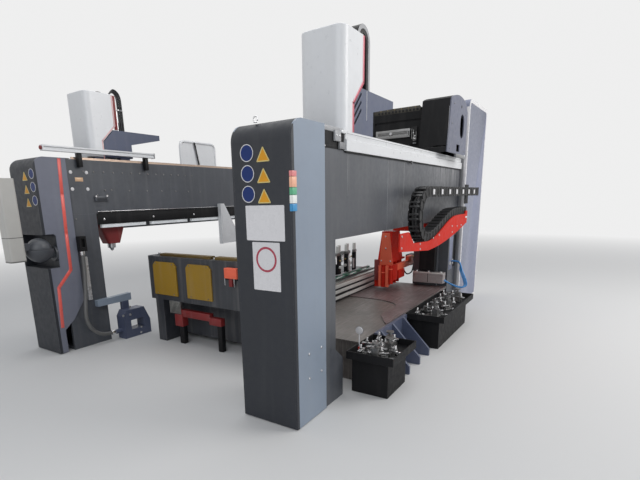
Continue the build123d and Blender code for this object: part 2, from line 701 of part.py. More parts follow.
def side_chain_places():
    places = [(CHAIN_BEND_X + (n + 0.5) * LINK_PITCH, CHAIN_TOP, 0) for n in range(CHAIN_TOP_LINKS)]
    inside = CHAIN_BEND_RADIUS * math.cos(CHAIN_TURN / 2)
    for n in range(CHAIN_BEND_LINKS):
        angle = (n + 0.5) * CHAIN_TURN
        x = CHAIN_BEND_X - inside * math.sin(angle)
        z = CHAIN_TOP - CHAIN_BEND_RADIUS + inside * math.cos(angle)
        places.append((x, z, math.degrees(angle)))
    joints = arm_joints()
    for start, end in zip(joints, joints[1:]):
        slope = math.degrees(math.atan2(end[1] - start[1], end[0] - start[0]))
        places.append(((start[0] + end[0]) / 2, (start[1] + end[1]) / 2, slope))
    return places


def side_chain():
    link = chain_link(LINK_PITCH, LINK_HEIGHT, CHAIN_WIDTH)
    return [Pos(x, CHAIN_Y, z) * Rot(0, -slope, 0) * link for x, z, slope in side_chain_places()]


# Arm under the energy chain, and the hanger that ties it to the cross carriage
def arm_depth(x):
    share = (x - CHAIN_BEND_X) / (CHAIN_ARM_LINKS * LINK_PITCH)
    lift = (ARM_RISE + ARM_DEPTH - ARM_RIGHT_DEPTH) * share ** ARM_BELLY
    return ARM_DEPTH + ARM_RISE * smooth_share(x) - lift


def chain_arm():
    steepest = 1.5 * ARM_RISE / ARM_SLOPE_LENGTH
    seat = LINK_HEIGHT / 2 * math.sqrt(1 + steepest ** 2) + SEAT_GAP
    line = [(x, z - seat) for x, z in arm_joints()]
    rim = [(x, z + ARM_RIM) for x, z in line[:-1]]
    start_z = line[0][1]
    lip_z = start_z + ARM_LIP_RISE
    lip_end = ARM_LEFT + ARM_LIP_LENGTH
    end_x, end_z = line[-1][0], rim[-1][1] + ARM_END_RISE
    low = [(x, z - arm_depth(x)) for x, z in reversed(line[::2])]
    side = outline((ARM_LEFT, lip_z), (lip_end, lip_z), (lip_end + ARM_NOTCH_SLOPE, start_z + 2 * ARM_RIM),
                   *rim, (rim[-1][0], end_z), (end_x, end_z), *low, (ARM_LEFT, lip_z - ARM_LEFT_HEIGHT))
    chain_y = centred(CHAIN_Y, CHAIN_WIDTH)
    sheet_y = (chain_y[0] - ARM_SHEET - SEAT_GAP, chain_y[0] - SEAT_GAP)
    arm = along_y(side, sheet_y)
    under = [(x, z - ARM_SHEET) for x, z in reversed(line)]
    arm += along_y(outline(*line, *under), (sheet_y[1], chain_y[1]))
    x = (DRUM_X + HANGER_INSET, DRUM_X + HANGER_INSET + HANGER_WIDTH)
    hang_low = arm_chain_height(x[0]) - seat - 0.9 * arm_depth(x[0])
    back = TOWER_Y + TOWER_WIDTH - TOWER_SHEET
    hang_y = (PORTAL_WIDTH + HANGER_GAP, PORTAL_WIDTH + HANGER_GAP + HANGER_T)
    arm += block(x, (sheet_y[1], hang_y[1]), (hang_low, OUTER_BOTTOM - HANGER_T))
    arm += block(x, hang_y, (hang_low, BASE_TOP))
    return arm + block(x, (back, hang_y[1]), (BASE_BOTTOM, BASE_TOP))


def chain_anchor():
    end = CHAIN_BEND_X + CHAIN_TOP_LINKS * LINK_PITCH
    foot = block((end - LINK_PITCH, end + 0.6 * LINK_PITCH), (GUARD_OUT - ANCHOR_T, GUARD_OUT),
                 (CHAIN_TOP - 1.5 * LINK_HEIGHT, CHAIN_TOP + 0.9 * LINK_HEIGHT))
    front = CHAIN_Y - CHAIN_WIDTH / 2
    return foot + block((end, end + ANCHOR_T), (front, GUARD_OUT), centred(CHAIN_TOP, LINK_HEIGHT))


# Cross slide on the near portal
def cross_base():
    base = carriage_base(DRUM_X + DRUM_WALL, DRUM_LENGTH - 2 * DRUM_WALL)
    pad_y = (TOWER_Y + PAD_WIDTH, TOWER_Y + TOWER_WIDTH - 2 * TOWER_SHEET)
    for start in (CROSS_X + PAD_WIDTH / 2, CROSS_X + CROSS_LENGTH - 1.5 * PAD_WIDTH):
        base += block((start, start + PAD_WIDTH), pad_y, (BASE_TOP, CROSS_BOTTOM - SEAT_GAP))
    return base


def drum_side():
    left = DRUM_X
    right = DRUM_X + DRUM_LENGTH
    low = BASE_BOTTOM - DRUM_SKIRT
    shoulder = BASE_BOTTOM + DRUM_SHOULDER
    crown_left = (left + 0.1 * DRUM_LENGTH, shoulder)
    crown = (left + 0.5 * DRUM_LENGTH, BASE_BOTTOM + DRUM_HEIGHT)
    crown_right = (right - 0.14 * DRUM_LENGTH, shoulder + 30)
    corner = (right, shoulder - 60)
    path = Polyline(corner, (right, low), (left, low), crown_left)
    arch = ThreePointArc(crown_left, crown, crown_right)
    return make_face([path, arch, Line(crown_right, corner)])


def drum_housing():
    side = drum_side()
    wall = offset(side, amount=-DRUM_WALL)
    low = BASE_BOTTOM - DRUM_SKIRT
    y = (DRUM_Y, DRUM_Y + DRUM_DEPTH)
    shell = along_y(side, y) - along_y(wall, (y[0] - 1, y[1] - DRUM_WALL))
    shell -= block((DRUM_X + DRUM_WALL, DRUM_X + DRUM_LENGTH - DRUM_WALL), y, (low - 1, BASE_TOP))
    gap = DRUM_OPENING_GAP
    opening_x = (CROSS_X - gap - GUIDE_BAR_T, CROSS_X + CROSS_LENGTH + gap)
    opening_z = (BASE_TOP - 1, CROSS_BOTTOM + CROSS_HEIGHT + SMALL_LINK_HEIGHT + gap)
    return shell - block(opening_x, (y[1] - DRUM_WALL - 1, y[1] + 1), opening_z)


def drum_end_plate():
    plate = along_y(drum_side(), (DRUM_Y - DRUM_PLATE_T, DRUM_Y))
    slot_x, slot_z = DRUM_SLOT_PLACE
    hole_x, hole_z = DRUM_HOLE_PLACE
    slot = Pos(DRUM_X + slot_x, BASE_BOTTOM + slot_z) * SlotOverall(*DRUM_SLOT_SIZE, rotation=90)
    hole = Pos(DRUM_X + hole_x, BASE_BOTTOM + hole_z) * RectangleRounded(*DRUM_HOLE_SIZE, DRUM_HOLE_RADIUS)
    return plate - along_y(slot + hole, (DRUM_Y - DRUM_PLATE_T - 1, DRUM_Y + 1))


def cross_slide():
    x = (CROSS_X, CROSS_X + CROSS_LENGTH)
    z = (CROSS_BOTTOM, CROSS_BOTTOM + CROSS_HEIGHT)
    slide = block(x, (CROSS_START, CROSS_END), z)
    slide -= block((x[0] + CROSS_WALL, x[1] - CROSS_WALL), (CROSS_START - 1, SIDE_RAM_Y - RAM_SIZE),
                   (z[0] + CROSS_WALL, z[1] - CROSS_WALL))
    slide -= block(*ram_hole(SIDE_RAM_X, SIDE_RAM_Y), (z[0] - 1, z[1] + 1))
    groove_z = z[0] + 0.72 * CROSS_HEIGHT
    slide -= block((x[0] - 1, x[0] + 12), (CROSS_START - 1, CROSS_END + 1), (groove_z, groove_z + 24))
    return slide


def cross_guide():
    z = CROSS_BOTTOM + 0.3 * CROSS_HEIGHT
    y = (DRUM_Y + DRUM_DEPTH + GUIDE_BAR_T, CROSS_END - GUIDE_BAR_T)
    bar = block((CROSS_X - GUIDE_BAR_T, CROSS_X), y, (z, z + GUIDE_BAR_HEIGHT))
    groove_x = (CROSS_X - GUIDE_BAR_T - 1, CROSS_X - 0.6 * GUIDE_BAR_T)
    groove_z = centred(z + GUIDE_BAR_HEIGHT / 2, GUIDE_BAR_HEIGHT / 3)
    return bar - block(groove_x, (y[0] - 1, y[1] + 1), groove_z)


def cross_chain():
    link = Rot(0, 0, 90) * chain_link(SMALL_LINK_PITCH, SMALL_LINK_HEIGHT, SMALL_CHAIN_WIDTH)
    start = DRUM_Y + DRUM_DEPTH + 40
    count = int((CROSS_END - start) / SMALL_LINK_PITCH)
    x = CROSS_X + 10 + SMALL_CHAIN_WIDTH / 2
    z = CROSS_BOTTOM + CROSS_HEIGHT + SMALL_LINK_HEIGHT / 2
    return [Pos(x, start + (n + 0.5) * SMALL_LINK_PITCH, z) * link for n in range(count)]


# Side welding head under the cross slide: a ribbed bracket with a level spindle
def bracket_heights():
    top = SIDE_RAM_BOTTOM - BRACKET_FLANGE_T
    waist = top - BRACKET_TAPER
    return top, waist, waist - BRACKET_BASE


def spindle_centre():
    bottom = bracket_heights()[2]
    return SIDE_RAM_X, bottom + SPINDLE_INSET + SPINDLE_RADIUS


def head_bracket():
    x = SIDE_RAM_X
    top, waist, bottom = bracket_heights()
    front, back = centred(SIDE_RAM_Y, BRACKET_DEPTH)
    plate_y = (front + RIB_DEPTH, back)
    rib_y = (front, front + RIB_DEPTH)
    wide = centred(x, BRACKET_WIDTH)
    neck = Pos(x, SIDE_RAM_Y, top) * Rectangle(BRACKET_TOP_WIDTH, RAM_SIZE)
    shoulder = Pos(x, SIDE_RAM_Y, waist) * Rectangle(BRACKET_WIDTH * 0.72, BRACKET_DEPTH)
    body = loft([neck, shoulder], ruled=True)
    body += block(centred(x, BRACKET_TOP_WIDTH), centred(SIDE_RAM_Y, RAM_SIZE), (top, SIDE_RAM_BOTTOM))
    body += block(wide, plate_y, (bottom + SPINDLE_INSET, waist))
    body += block((wide[0], x + 0.2 * BRACKET_WIDTH), plate_y, (bottom, bottom + SPINDLE_INSET))
    body += block(wide, rib_y, (waist - RIB_T, waist))
    pitch = (0.7 * BRACKET_WIDTH - RIB_T) / (RIB_COUNT - 1)
    for rib in range(RIB_COUNT):
        rib_x = wide[0] + rib * pitch
        body += block((rib_x, rib_x + RIB_T), rib_y, (bottom, waist - RIB_T))
    ear = block((wide[1] - EAR_SIZE, wide[1]), plate_y, (waist, waist + 0.75 * EAR_SIZE))
    ear -= cylinder_y(0.18 * EAR_SIZE, wide[1] - EAR_SIZE / 2, waist + 0.4 * EAR_SIZE, (front, back + 1))
    bore = cylinder_y(SPINDLE_RADIUS, *spindle_centre(), (back - SPINDLE_SEAT, back + 1))
    return body + ear - bore


def side_spindle():
    x, z = spindle_centre()
    back = SIDE_RAM_Y + BRACKET_DEPTH / 2
    body = cylinder_y(SPINDLE_RADIUS - SEAT_GAP, x, z, (back - SPINDLE_SEAT, back))
    body += cylinder_y(SPINDLE_FLANGE_RADIUS, x, z, (back, back + SPINDLE_FLANGE_T))
    return body - cylinder_y(NOSE_RADIUS + RUNNING_GAP, x, z, (back - NOSE_SEAT, back + SPINDLE_FLANGE_T + 1))


def side_tool():
    x, z = spindle_centre()
    back = SIDE_RAM_Y + BRACKET_DEPTH / 2
    return Pos(x, back, z) * Rot(90, 0, 0) * stir_tool()


# Work table
def table_frame():
    side_y = (TABLE_SIDE_Y + PROFILE_T, PORTAL_SPAN - TABLE_SIDE_Y - PROFILE_T)
    deck_x = (TABLE_START + BRIDGE_LENGTH, TABLE_END)
    frame = block(deck_x, side_y, (TABLE_HEIGHT - DECK_T, TABLE_HEIGHT))
    for low in (side_y[0], side_y[1] - TABLE_WEB_T):
        frame += block(deck_x, (low, low + TABLE_WEB_T), (0, TABLE_HEIGHT))
    pitch = (deck_x[1] - deck_x[0] - TABLE_WEB_T) / (TABLE_WEB_COUNT - 1)
    for web in range(TABLE_WEB_COUNT):
        x = deck_x[0] + web * pitch
        frame += block((x, x + TABLE_WEB_T), side_y, (TABLE_CLEARANCE, TABLE_HEIGHT))
    return frame + table_bridge()


def table_bridge():
    x = (TABLE_START, TABLE_START + BRIDGE_LENGTH)
    y = (TABLE_SIDE_Y, PORTAL_SPAN - TABLE_SIDE_Y)
    plan = Pos((x[0] + x[1]) / 2, (y[0] + y[1]) / 2) * Rectangle(x[1] - x[0], y[1] - y[0])
    plan = fillet(plan.vertices().group_by(Axis.X)[0], BRIDGE_CORNER)
    bridge = along_z(plan, (BRIDGE_BOTTOM, BRIDGE_HEIGHT))
    bridge -= block((x[0] + BRIDGE_FRONT_T, x[1] + 1), (y[0] + BRIDGE_SIDE_T, y[1] - BRIDGE_SIDE_T),
                    (BRIDGE_BOTTOM + BRIDGE_FRONT_T, BRIDGE_HEIGHT - BRIDGE_FRONT_T))
    for post in (y[0] + BRIDGE_SIDE_T, y[1] - BRIDGE_SIDE_T - BRIDGE_POST):
        bridge += block(x, (post, post + BRIDGE_POST), (0, BRIDGE_BOTTOM))
    return bridge


def side_profile(row):
    low = PROFILE_BOTTOM + row * PROFILE_HEIGHT
    x = (TABLE_START + BRIDGE_LENGTH, TABLE_END)
    face = TABLE_SIDE_Y
    profile = block(x, (face, face + PROFILE_T), (low, low + PROFILE_HEIGHT))
    long_x = (x[0] - 1, x[1] + 1)
    for groove in (0.3, 0.7):
        z = low + groove * PROFILE_HEIGHT
        profile -= block(long_x, (face - 1, face + GROOVE_LIP), centred(z, GROOVE_WIDTH))
        profile -= block(long_x, (face + GROOVE_LIP, face + GROOVE_DEPTH), centred(z, 2 * GROOVE_WIDTH))
    return profile


def end_panels():
    panels = []
    for low, high in PANEL_SPANS:
        panel = Pos((low + high) / 2, PANEL_LOW + PANEL_HEIGHT / 2) * Rectangle(high - low, PANEL_HEIGHT)
        panel = chamfer(panel.vertices().group_by(Axis.Y)[-1], PANEL_NOTCH)
        panels.append(along_x(panel, (TABLE_START - PANEL_T, TABLE_START)))
    return panels


def clamp_strips():
    strips = []
    for start, end in STRIP_SPANS:
        x = (TABLE_START + 40, TABLE_START + 40 + CLAMP_STRIP_WIDTH)
        strips.append(block(x, (start, end), (BRIDGE_HEIGHT, BRIDGE_HEIGHT + CLAMP_STRIP_T)))
    return strips


# Floor plate, trays and their support on the near side
def floor_plate():
    x = (FLOOR_PLATE_START, PORTAL_LENGTH - INNER_LEG_LENGTH)
    y = (0, TABLE_SIDE_Y)
    plate = block(x, y, (FLOOR_PLATE_Z, FLOOR_PLATE_Z + FLOOR_PLATE_T))
    inset = 20
    pitch = (x[1] - x[0] - FLOOR_BEARER - 2 * inset) / (FLOOR_BEARER_COUNT - 1)
    for bearer in range(FLOOR_BEARER_COUNT):
        start = x[0] + inset + bearer * pitch
        plate += block((start, start + FLOOR_BEARER), (y[0] + inset, y[1] - inset), (0, FLOOR_PLATE_Z))
    return plate


def side_tray(x):
    y = (-TRAY_REACH, 0)
    low = TRAY_HEIGHT - TRAY_DEPTH
    tray = block(x, y, (low, TRAY_HEIGHT))
    return tray - block((x[0] + TRAY_SHEET, x[1] - TRAY_SHEET), (y[0] + TRAY_SHEET, y[1] - TRAY_SHEET),
                        (low + TRAY_SHEET, TRAY_HEIGHT + 1))


def plinth(x):
    y = (PLINTH_INSET - TRAY_REACH, -PLINTH_INSET / 3)
    return block((x[0] + PLINTH_INSET, x[1] - PLINTH_INSET), y, (0, TRAY_HEIGHT - TRAY_DEPTH))


def tray_clamp(x, y):
    low = TRAY_HEIGHT - TRAY_DEPTH + TRAY_SHEET
    foot_top = low + 0.23 * CLAMP_SIZE
    body_top = low + 0.8 * CLAMP_SIZE
    stem_top = low + CLAMP_SIZE
    clamp = block(centred(x, CLAMP_SIZE), centred(y, 0.67 * CLAMP_SIZE), (low, foot_top))
    clamp += block(centred(x, 0.57 * CLAMP_SIZE), centred(y, 0.43 * CLAMP_SIZE), (foot_top, body_top))
    clamp += cylinder_z(0.09 * CLAMP_SIZE, x, y, (body_top, stem_top))
    clamp += cylinder_z(0.25 * CLAMP_SIZE, x, y, (stem_top, stem_top + 0.1 * CLAMP_SIZE))
    lever_z = centred(low + 0.6 * CLAMP_SIZE, 0.13 * CLAMP_SIZE)
    return clamp + block((x, x + 0.8 * CLAMP_SIZE), centred(y, 0.13 * CLAMP_SIZE), lever_z)


def tray_bracket():
    high = FLOOR_PLATE_Z + FLOOR_PLATE_T
    bracket = block(TRAY_BRACKET_SPAN, (-TRAY_BRACKET_T, 0), (0, high))
    reach = 0.7 * TRAY_REACH
    web = outline((0, 0), (0, high), (-reach, 0.2 * high), (-reach, 0))
    start, end = TRAY_BRACKET_SPAN
    for share in (0.1, 0.47, 0.84):
        x = start + share * (end - start)
        bracket += along_x(Pos(-TRAY_BRACKET_T, 0) * web, (x, x + TRAY_WEB_T))
    return bracket


# Boxes on the front face of the near rear leg
def leg_box(span, low, height, depth):
    face = PORTAL_LENGTH - INNER_LEG_LENGTH
    box = block((face - depth, face), span, (low, low + height))
    return fillet(box.edges().filter_by(Axis.Z).group_by(Axis.X)[0], 6)


def valve_unit():
    unit = leg_box(VALVE_SPAN, VALVE_LOW, VALVE_HEIGHT, VALVE_DEPTH)
    front = PORTAL_LENGTH - INNER_LEG_LENGTH - VALVE_DEPTH
    seam_z = (VALVE_LOW + 0.62 * VALVE_HEIGHT, VALVE_LOW + 0.68 * VALVE_HEIGHT)
    return unit - block((front - 1, front + 4), (VALVE_SPAN[0] - 1, VALVE_SPAN[1] + 1), seam_z)


# Pieces on the far portal, drawn on the near side and mirrored
def top_rail():
    back = PORTAL_WIDTH + 5
    front = back + TOP_RAIL_DEPTH
    middle_z = TOP_RAIL_LOW + TOP_RAIL_HEIGHT / 2
    bar = block(TOP_RAIL_SPAN, (back, front), centred(middle_z, TOP_RAIL_HEIGHT))
    groove_x = (TOP_RAIL_SPAN[0] + 10, TOP_RAIL_SPAN[1] + 1)
    bar -= block(groove_x, (front - 6, front + 1), centred(middle_z, 0.3 * TOP_RAIL_HEIGHT))
    for share in STANDOFF_SHARES:
        place = TOP_RAIL_SPAN[0] + share * (TOP_RAIL_SPAN[1] - TOP_RAIL_SPAN[0])
        foot_y = (INNER_OUT, back + 0.6 * TOP_RAIL_DEPTH)
        bar += block(centred(place, STANDOFF_WIDTH), foot_y, (INNER_TOP - 2 * STANDOFF_WIDTH, TOP_RAIL_LOW))
    return bar


def window_guard():
    half = GUARD_TUBE / 2
    middle_y = PLATE_T - DUCT_OVERHANG - 8 - half
    x = (GUARD_WINDOW_SPAN[0] + half, GUARD_WINDOW_SPAN[1] - half)
    top = PORTAL_HEIGHT + GUARD_WINDOW_RISE - half
    path = FilletPolyline((x[0], middle_y, GUARD_TUBE_LOW), (x[0], middle_y, top), (x[1], middle_y, top),
                          (x[1], middle_y, GUARD_TUBE_LOW), radius=GUARD_TUBE_BEND)
    frame = sweep(Plane((x[0], middle_y, GUARD_TUBE_LOW)) * Circle(half), path)
    frame += block(x, centred(middle_y, GUARD_TUBE / 6), (PORTAL_HEIGHT, top))
    for post in x:
        foot_z = (GUARD_TUBE_LOW, GUARD_TUBE_LOW + 3 * GUARD_TUBE)
        frame += block(centred(post, GUARD_TUBE), (middle_y, PLATE_T), foot_z)
    return frame


def rear_gusset():
    left, right = REAR_GUSSET_SPAN
    low = REAR_GUSSET_LOW
    high = INNER_BOTTOM + REAR_GUSSET_FLANGE
    side = outline((left, low), (right, low), (right, low + REAR_GUSSET_FLANGE),
                   (left + 2 * REAR_GUSSET_FLANGE, high), (left, high))
    gusset = along_y(side, (INNER_OUT, INNER_OUT + REAR_GUSSET_T))
    flange_y = (INNER_OUT, INNER_OUT + REAR_GUSSET_FLANGE)
    return gusset + block((left, left + REAR_GUSSET_T), flange_y, (low, high))


def leg_conduit():
    face = INNER_OUT
    conduit = block(CONDUIT_SPAN, (face, face + CONDUIT_DEPTH), (CONDUIT_LOW, CONDUIT_LOW + CONDUIT_HEIGHT))
    return fillet(conduit.edges().filter_by(Axis.Z).group_by(Axis.Y)[-1], 8)


# The hose leaves a slotted box on the far leg and runs into the fitting of the base clamp
def slot_box():
    middle = HOSE_ROUTE[0][1]
    front = middle - HOSE_RADIUS - SLOT_BOX_WALL
    z = (SLOT_BOX_LOW, SLOT_BOX_LOW + SLOT_BOX_HEIGHT)
    box = block(SLOT_BOX_SPAN, (front, PORTAL_SPAN - INNER_OUT), z)
    slot_x = (SLOT_BOX_SPAN[0] + 2 * SLOT_BOX_WALL, SLOT_BOX_SPAN[1] - 2 * SLOT_BOX_WALL)
    return box - block(slot_x, (front - 1, middle), (z[0] + 5 * SLOT_BOX_WALL, z[1] - 3 * SLOT_BOX_WALL))


def hose_radii():
    points = [Vector(*point) for point in HOSE_ROUTE]
    radii = []
    for before, point, after in zip(points, points[1:], points[2:]):
        turn = math.radians((point - before).get_angle(after - point))
        run = min((point - before).length, (after - point).length)
        radii.append(0.45 * run / math.tan(turn / 2))
    return radii


def leg_hose():
    path = FilletPolyline(*HOSE_ROUTE, radius=hose_radii())
    end = Plane(origin=HOSE_ROUTE[0], z_dir=Vector(*HOSE_ROUTE[1]) - Vector(*HOSE_ROUTE[0]))
    return sweep(end * Circle(HOSE_RADIUS), path)


def base_clamp():
    x = BASE_CLAMP_SPAN
    middle = HOSE_ROUTE[-1][1]
    y = (middle - BASE_CLAMP_WIDTH / 2, middle + BASE_CLAMP_WIDTH / 2)
    side = outline((x[0], 0), (x[1], 0), (x[1], 0.5 * BASE_CLAMP_HEIGHT), (x[1] - 70, BASE_CLAMP_HEIGHT),
                   (x[0] + 40, BASE_CLAMP_HEIGHT), (x[0], 0.8 * BASE_CLAMP_HEIGHT))
    clamp = along_y(side, y)
    window_z = (0.28 * BASE_CLAMP_HEIGHT, 0.62 * BASE_CLAMP_HEIGHT)
    clamp -= block((x[0] + BASE_CLAMP_POST, x[1] - BASE_CLAMP_POST), (y[0] - 1, y[1] + 1), window_z)
    end = HOSE_ROUTE[-1]
    before = HOSE_ROUTE[-2]
    way = (Vector(*end) - Vector(*before)).normalized()
    reach = x[0] - end[0] + 20
    fitting = Plane(origin=end, z_dir=way) * Pos(0, 0, reach / 2) * Cylinder(1.3 * HOSE_RADIUS, reach)
    post_x = (x[0] + 0.7 * BASE_CLAMP_POST, x[0] + 1.7 * BASE_CLAMP_POST)
    post_y = (PORTAL_SPAN - INNER_OUT - CLAMP_BAR_DEPTH, y[1])
    return clamp + fitting + block(post_x, post_y, (window_z[1], CLAMP_BAR_LOW))


def clamp_bar():
    back = PORTAL_SPAN - INNER_OUT
    left, right = CLAMP_BAR_SPAN
    low = CLAMP_BAR_LOW
    high = low + CLAMP_BAR_HEIGHT
    side = outline((left, low), (right, low), (right, high), (left, high - 0.2 * CLAMP_BAR_HEIGHT))
    return along_y(side, (back - CLAMP_BAR_DEPTH, back))


# Operator console: a round knuckle in the recess carries the upright column
def console_mount():
    wall = RECESS_DEPTH - COVER_SHEET
    arm_z = CONSOLE_Z + KNUCKLE_SPLIT - CONSOLE_ARM_RADIUS - 5
    arm = along_x(Pos(CONSOLE_Y, arm_z) * Circle(CONSOLE_ARM_RADIUS), (CONSOLE_X, wall))
    flange = along_x(Pos(CONSOLE_Y, arm_z) * Circle(CONSOLE_FLANGE_RADIUS), (wall - CONSOLE_FLANGE_T, wall))
    cup = Pos(CONSOLE_X, CONSOLE_Y, CONSOLE_Z + KNUCKLE_SPLIT) * dome(DOME_RADIUS, -1)
    return arm + flange + cup


def dome(radius, way):
    top = (0, way * radius)
    middle = (radius * math.sin(math.pi / 4), way * radius * math.sin(math.pi / 4))
    arc = ThreePointArc((radius, 0), middle, top)
    side = make_face([Line((0, 0), (radius, 0)), arc, Line(top, (0, 0))])
    return revolve(Plane.XZ * side, Axis.Z)


def console_column():
    x = CONSOLE_X - CONSOLE_REACH
    split = CONSOLE_Z + KNUCKLE_SPLIT + RUNNING_GAP
    cap = Pos(CONSOLE_X, CONSOLE_Y, split) * dome(0.85 * DOME_RADIUS, 1)
    neck = block((x, CONSOLE_X), centred(CONSOLE_Y, NECK_SIZE), (split, split + NECK_SIZE))
    plan = Pos(x, CONSOLE_Y) * RectangleRounded(COLUMN_LENGTH, COLUMN_WIDTH, COLUMN_RADIUS)
    column = along_z(plan, (COLUMN_BOTTOM, COLUMN_BOTTOM + COLUMN_HEIGHT))
    return column + neck + cap


os.makedirs("parts", exist_ok=True)
save("front_legs", front_leg(), mirrored(front_leg()))
save("rear_legs", rear_leg(), mirrored(rear_leg()))
save("outer_beams", outer_beam(), mirrored(outer_beam()))
save("inner_beams", inner_beam(), mirrored(inner_beam()))
save("near_end_cover", end_cover(False))
save("far_end_cover", mirrored(end_cover(True)))
save("outer_plates", outer_plate(), mirrored(outer_plate()))
save("near_inner_plate", inner_plate(False))
save("far_inner_plate", mirrored(inner_plate(True)))
save("cable_ducts", cable_duct(), mirrored(cable_duct()))
save("guide_rails", *rails(), *[mirrored(bar) for bar in rails()])
save("edge_strips", edge_strip(), mirrored(edge_strip()))
save("light_bars", *light_bars(), *[mirrored(bar) for bar in light_bars()])
save("guard_panels", guard_panel(), mirrored(guard_panel()))

far = Pos(FAR_TOWER_SHIFT, 0, 0)
near_top = NEAR_HEAD_BOTTOM + HEAD_HEIGHT
far_top = FAR_HEAD_BOTTOM + HEAD_HEIGHT
save("near_tower_saddle", tower_saddle())
save("far_tower_saddle", far * mirrored(tower_saddle()))
save("near_tower_cover", tower_cover())
save("far_tower_cover", far * mirrored(tower_cover()))
save("near_tower_ram", square_ram(ram_x(), SLOT_RAM_Y, near_top, near_top + RAM_LENGTH))
save("far_tower_ram", far * mirrored(square_ram(ram_x(), SLOT_RAM_Y, far_top, far_top + RAM_LENGTH)))
save("near_tower_head", upright_head(NEAR_HEAD_BOTTOM))
save("far_tower_head", far * mirrored(upright_head(FAR_HEAD_BOTTOM)))
near_tool = Pos(ram_x(), SLOT_RAM_Y, NEAR_HEAD_BOTTOM) * stir_tool()
far_tool = Pos(ram_x(), SLOT_RAM_Y, FAR_HEAD_BOTTOM) * stir_tool()
save("near_tower_tool", near_tool)
save("far_tower_tool", far * mirrored(far_tool))
save("near_tower_chain", tower_chain())
save("far_tower_chain", far * mirrored(tower_chain()))

save("cross_base", cross_base())
save("cross_slide", cross_slide())
save("cross_guide", cross_guide())
save("cross_chain", *cross_chain())
save("drum_housing", drum_housing())
save("drum_end_plate", drum_end_plate())
save("side_ram", square_ram(SIDE_RAM_X, SIDE_RAM_Y, SIDE_RAM_BOTTOM, CROSS_BOTTOM + CROSS_HEIGHT - 5))
save("head_bracket", head_bracket())
save("side_spindle", side_spindle())
save("side_tool", side_tool())
save("chain_arm", chain_arm())
save("side_chain", *side_chain())
save("chain_anchor", chain_anchor())

save("table_frame", table_frame())
profiles = [side_profile(row) for row in range(PROFILE_COUNT)]
save("side_profiles", *profiles, *[mirrored(bar) for bar in profiles])
save("end_panels", *end_panels())
save("clamp_strips", *clamp_strips())
save("floor_plate", floor_plate())
save("side_trays", *[side_tray(span) for span in TRAY_SPANS])
save("plinths", *[plinth(span) for span in TRAY_SPANS])
save("tray_bracket", tray_bracket())
save("tray_clamps", *[tray_clamp(*place) for place in CLAMP_PLACES])
save("valve_unit", valve_unit())
save("control_box", leg_box(CONTROL_SPAN, CONTROL_LOW, CONTROL_HEIGHT, CONTROL_DEPTH))

save("top_rail", mirrored(top_rail()))
save("window_guard", mirrored(window_guard()))
save("rear_gusset", mirrored(rear_gusset()))
save("leg_conduit", mirrored(leg_conduit()))
save("slot_box", slot_box())
save("base_clamp", base_clamp())
save("clamp_bar", clamp_bar())
save("leg_hose", leg_hose())
print("leg_hose radii", [round(radius) for radius in hose_radii()])
save("console_mount", console_mount())
save("console_column", console_column())
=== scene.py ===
"""Dresses the friction stir welding machine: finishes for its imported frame, and the detail pieces on it.

Places are given in the machine's working millimetres: X along the beams away from the end
covers, Y from the near portal to the far one, Z up from the floor. Function at() turns a place
into metres in the part's frame.
"""

import math

import bmesh
import bpy
from bpy.props import FloatProperty, FloatVectorProperty, PointerProperty
from bpy.types import Operator, Panel, PropertyGroup
from mathutils import Matrix, Vector


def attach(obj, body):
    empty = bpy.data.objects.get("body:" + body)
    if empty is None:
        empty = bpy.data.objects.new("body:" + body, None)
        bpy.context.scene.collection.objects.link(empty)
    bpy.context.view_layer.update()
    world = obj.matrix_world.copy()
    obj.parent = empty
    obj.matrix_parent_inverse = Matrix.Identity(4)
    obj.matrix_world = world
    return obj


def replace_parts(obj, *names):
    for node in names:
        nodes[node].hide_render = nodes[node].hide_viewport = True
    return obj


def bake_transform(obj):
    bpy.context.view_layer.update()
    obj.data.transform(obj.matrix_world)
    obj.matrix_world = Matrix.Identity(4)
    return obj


bl_info = {
    "name": "Friction stir welding machine",
    "version": (1, 0, 0),
    "blender": (4, 5, 0),
    "location": "3D View > Sidebar > Welding machine",
    "description": "Builds the looks of a twin portal friction stir welding machine",
    "category": "Object",
}

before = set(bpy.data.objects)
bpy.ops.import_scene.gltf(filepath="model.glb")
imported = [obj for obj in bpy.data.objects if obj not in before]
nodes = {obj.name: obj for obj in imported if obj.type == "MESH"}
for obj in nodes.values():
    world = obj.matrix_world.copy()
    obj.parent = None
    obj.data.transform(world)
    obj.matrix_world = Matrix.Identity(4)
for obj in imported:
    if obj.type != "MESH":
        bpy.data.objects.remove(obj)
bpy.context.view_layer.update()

# The part's frame: its origin in working millimetres, and millimetres in a metre
ORIGIN_X = 2230.0
ORIGIN_Y = 1481.5
MM = 1000.0

# Faces and levels that the detail pieces are set against
SPAN = 3275.0
FAR_FACE = SPAN - 428.0
FAR_PLATE = SPAN - 440.0
TOWER_Y = 50.0
FAR_TOWER_Y = SPAN - 404
FAR_SHIFT = -89.0
DRUM_X = 2730.0
GUARD_X = 3760.0
GUARD_END = 4770.0
GUARD_TOP = 2570.0
BRIDGE_TOP = 916.0
DECK_TOP = 560.0
TRAY_FLOOR = 289
LEDGE_BACK = 852
LEDGE_END = 3198
BEAM_SEAMS = ((705, 1466), (1434, 1184), (1808, 1184), (3104, 1184))

# Where the marks on two finishes lie: the cover's paint on the side plates, in working
# millimetres, and the joint of the console's column, in metres
COVER_WRAP = 25.0
CONSOLE_SEAM = 1.182

FRAME_BODY = "machine_frame"
SMOOTH_ANGLE = math.radians(35)
MERGE_GAP = 1e-5
SCREW_SIDES = 16

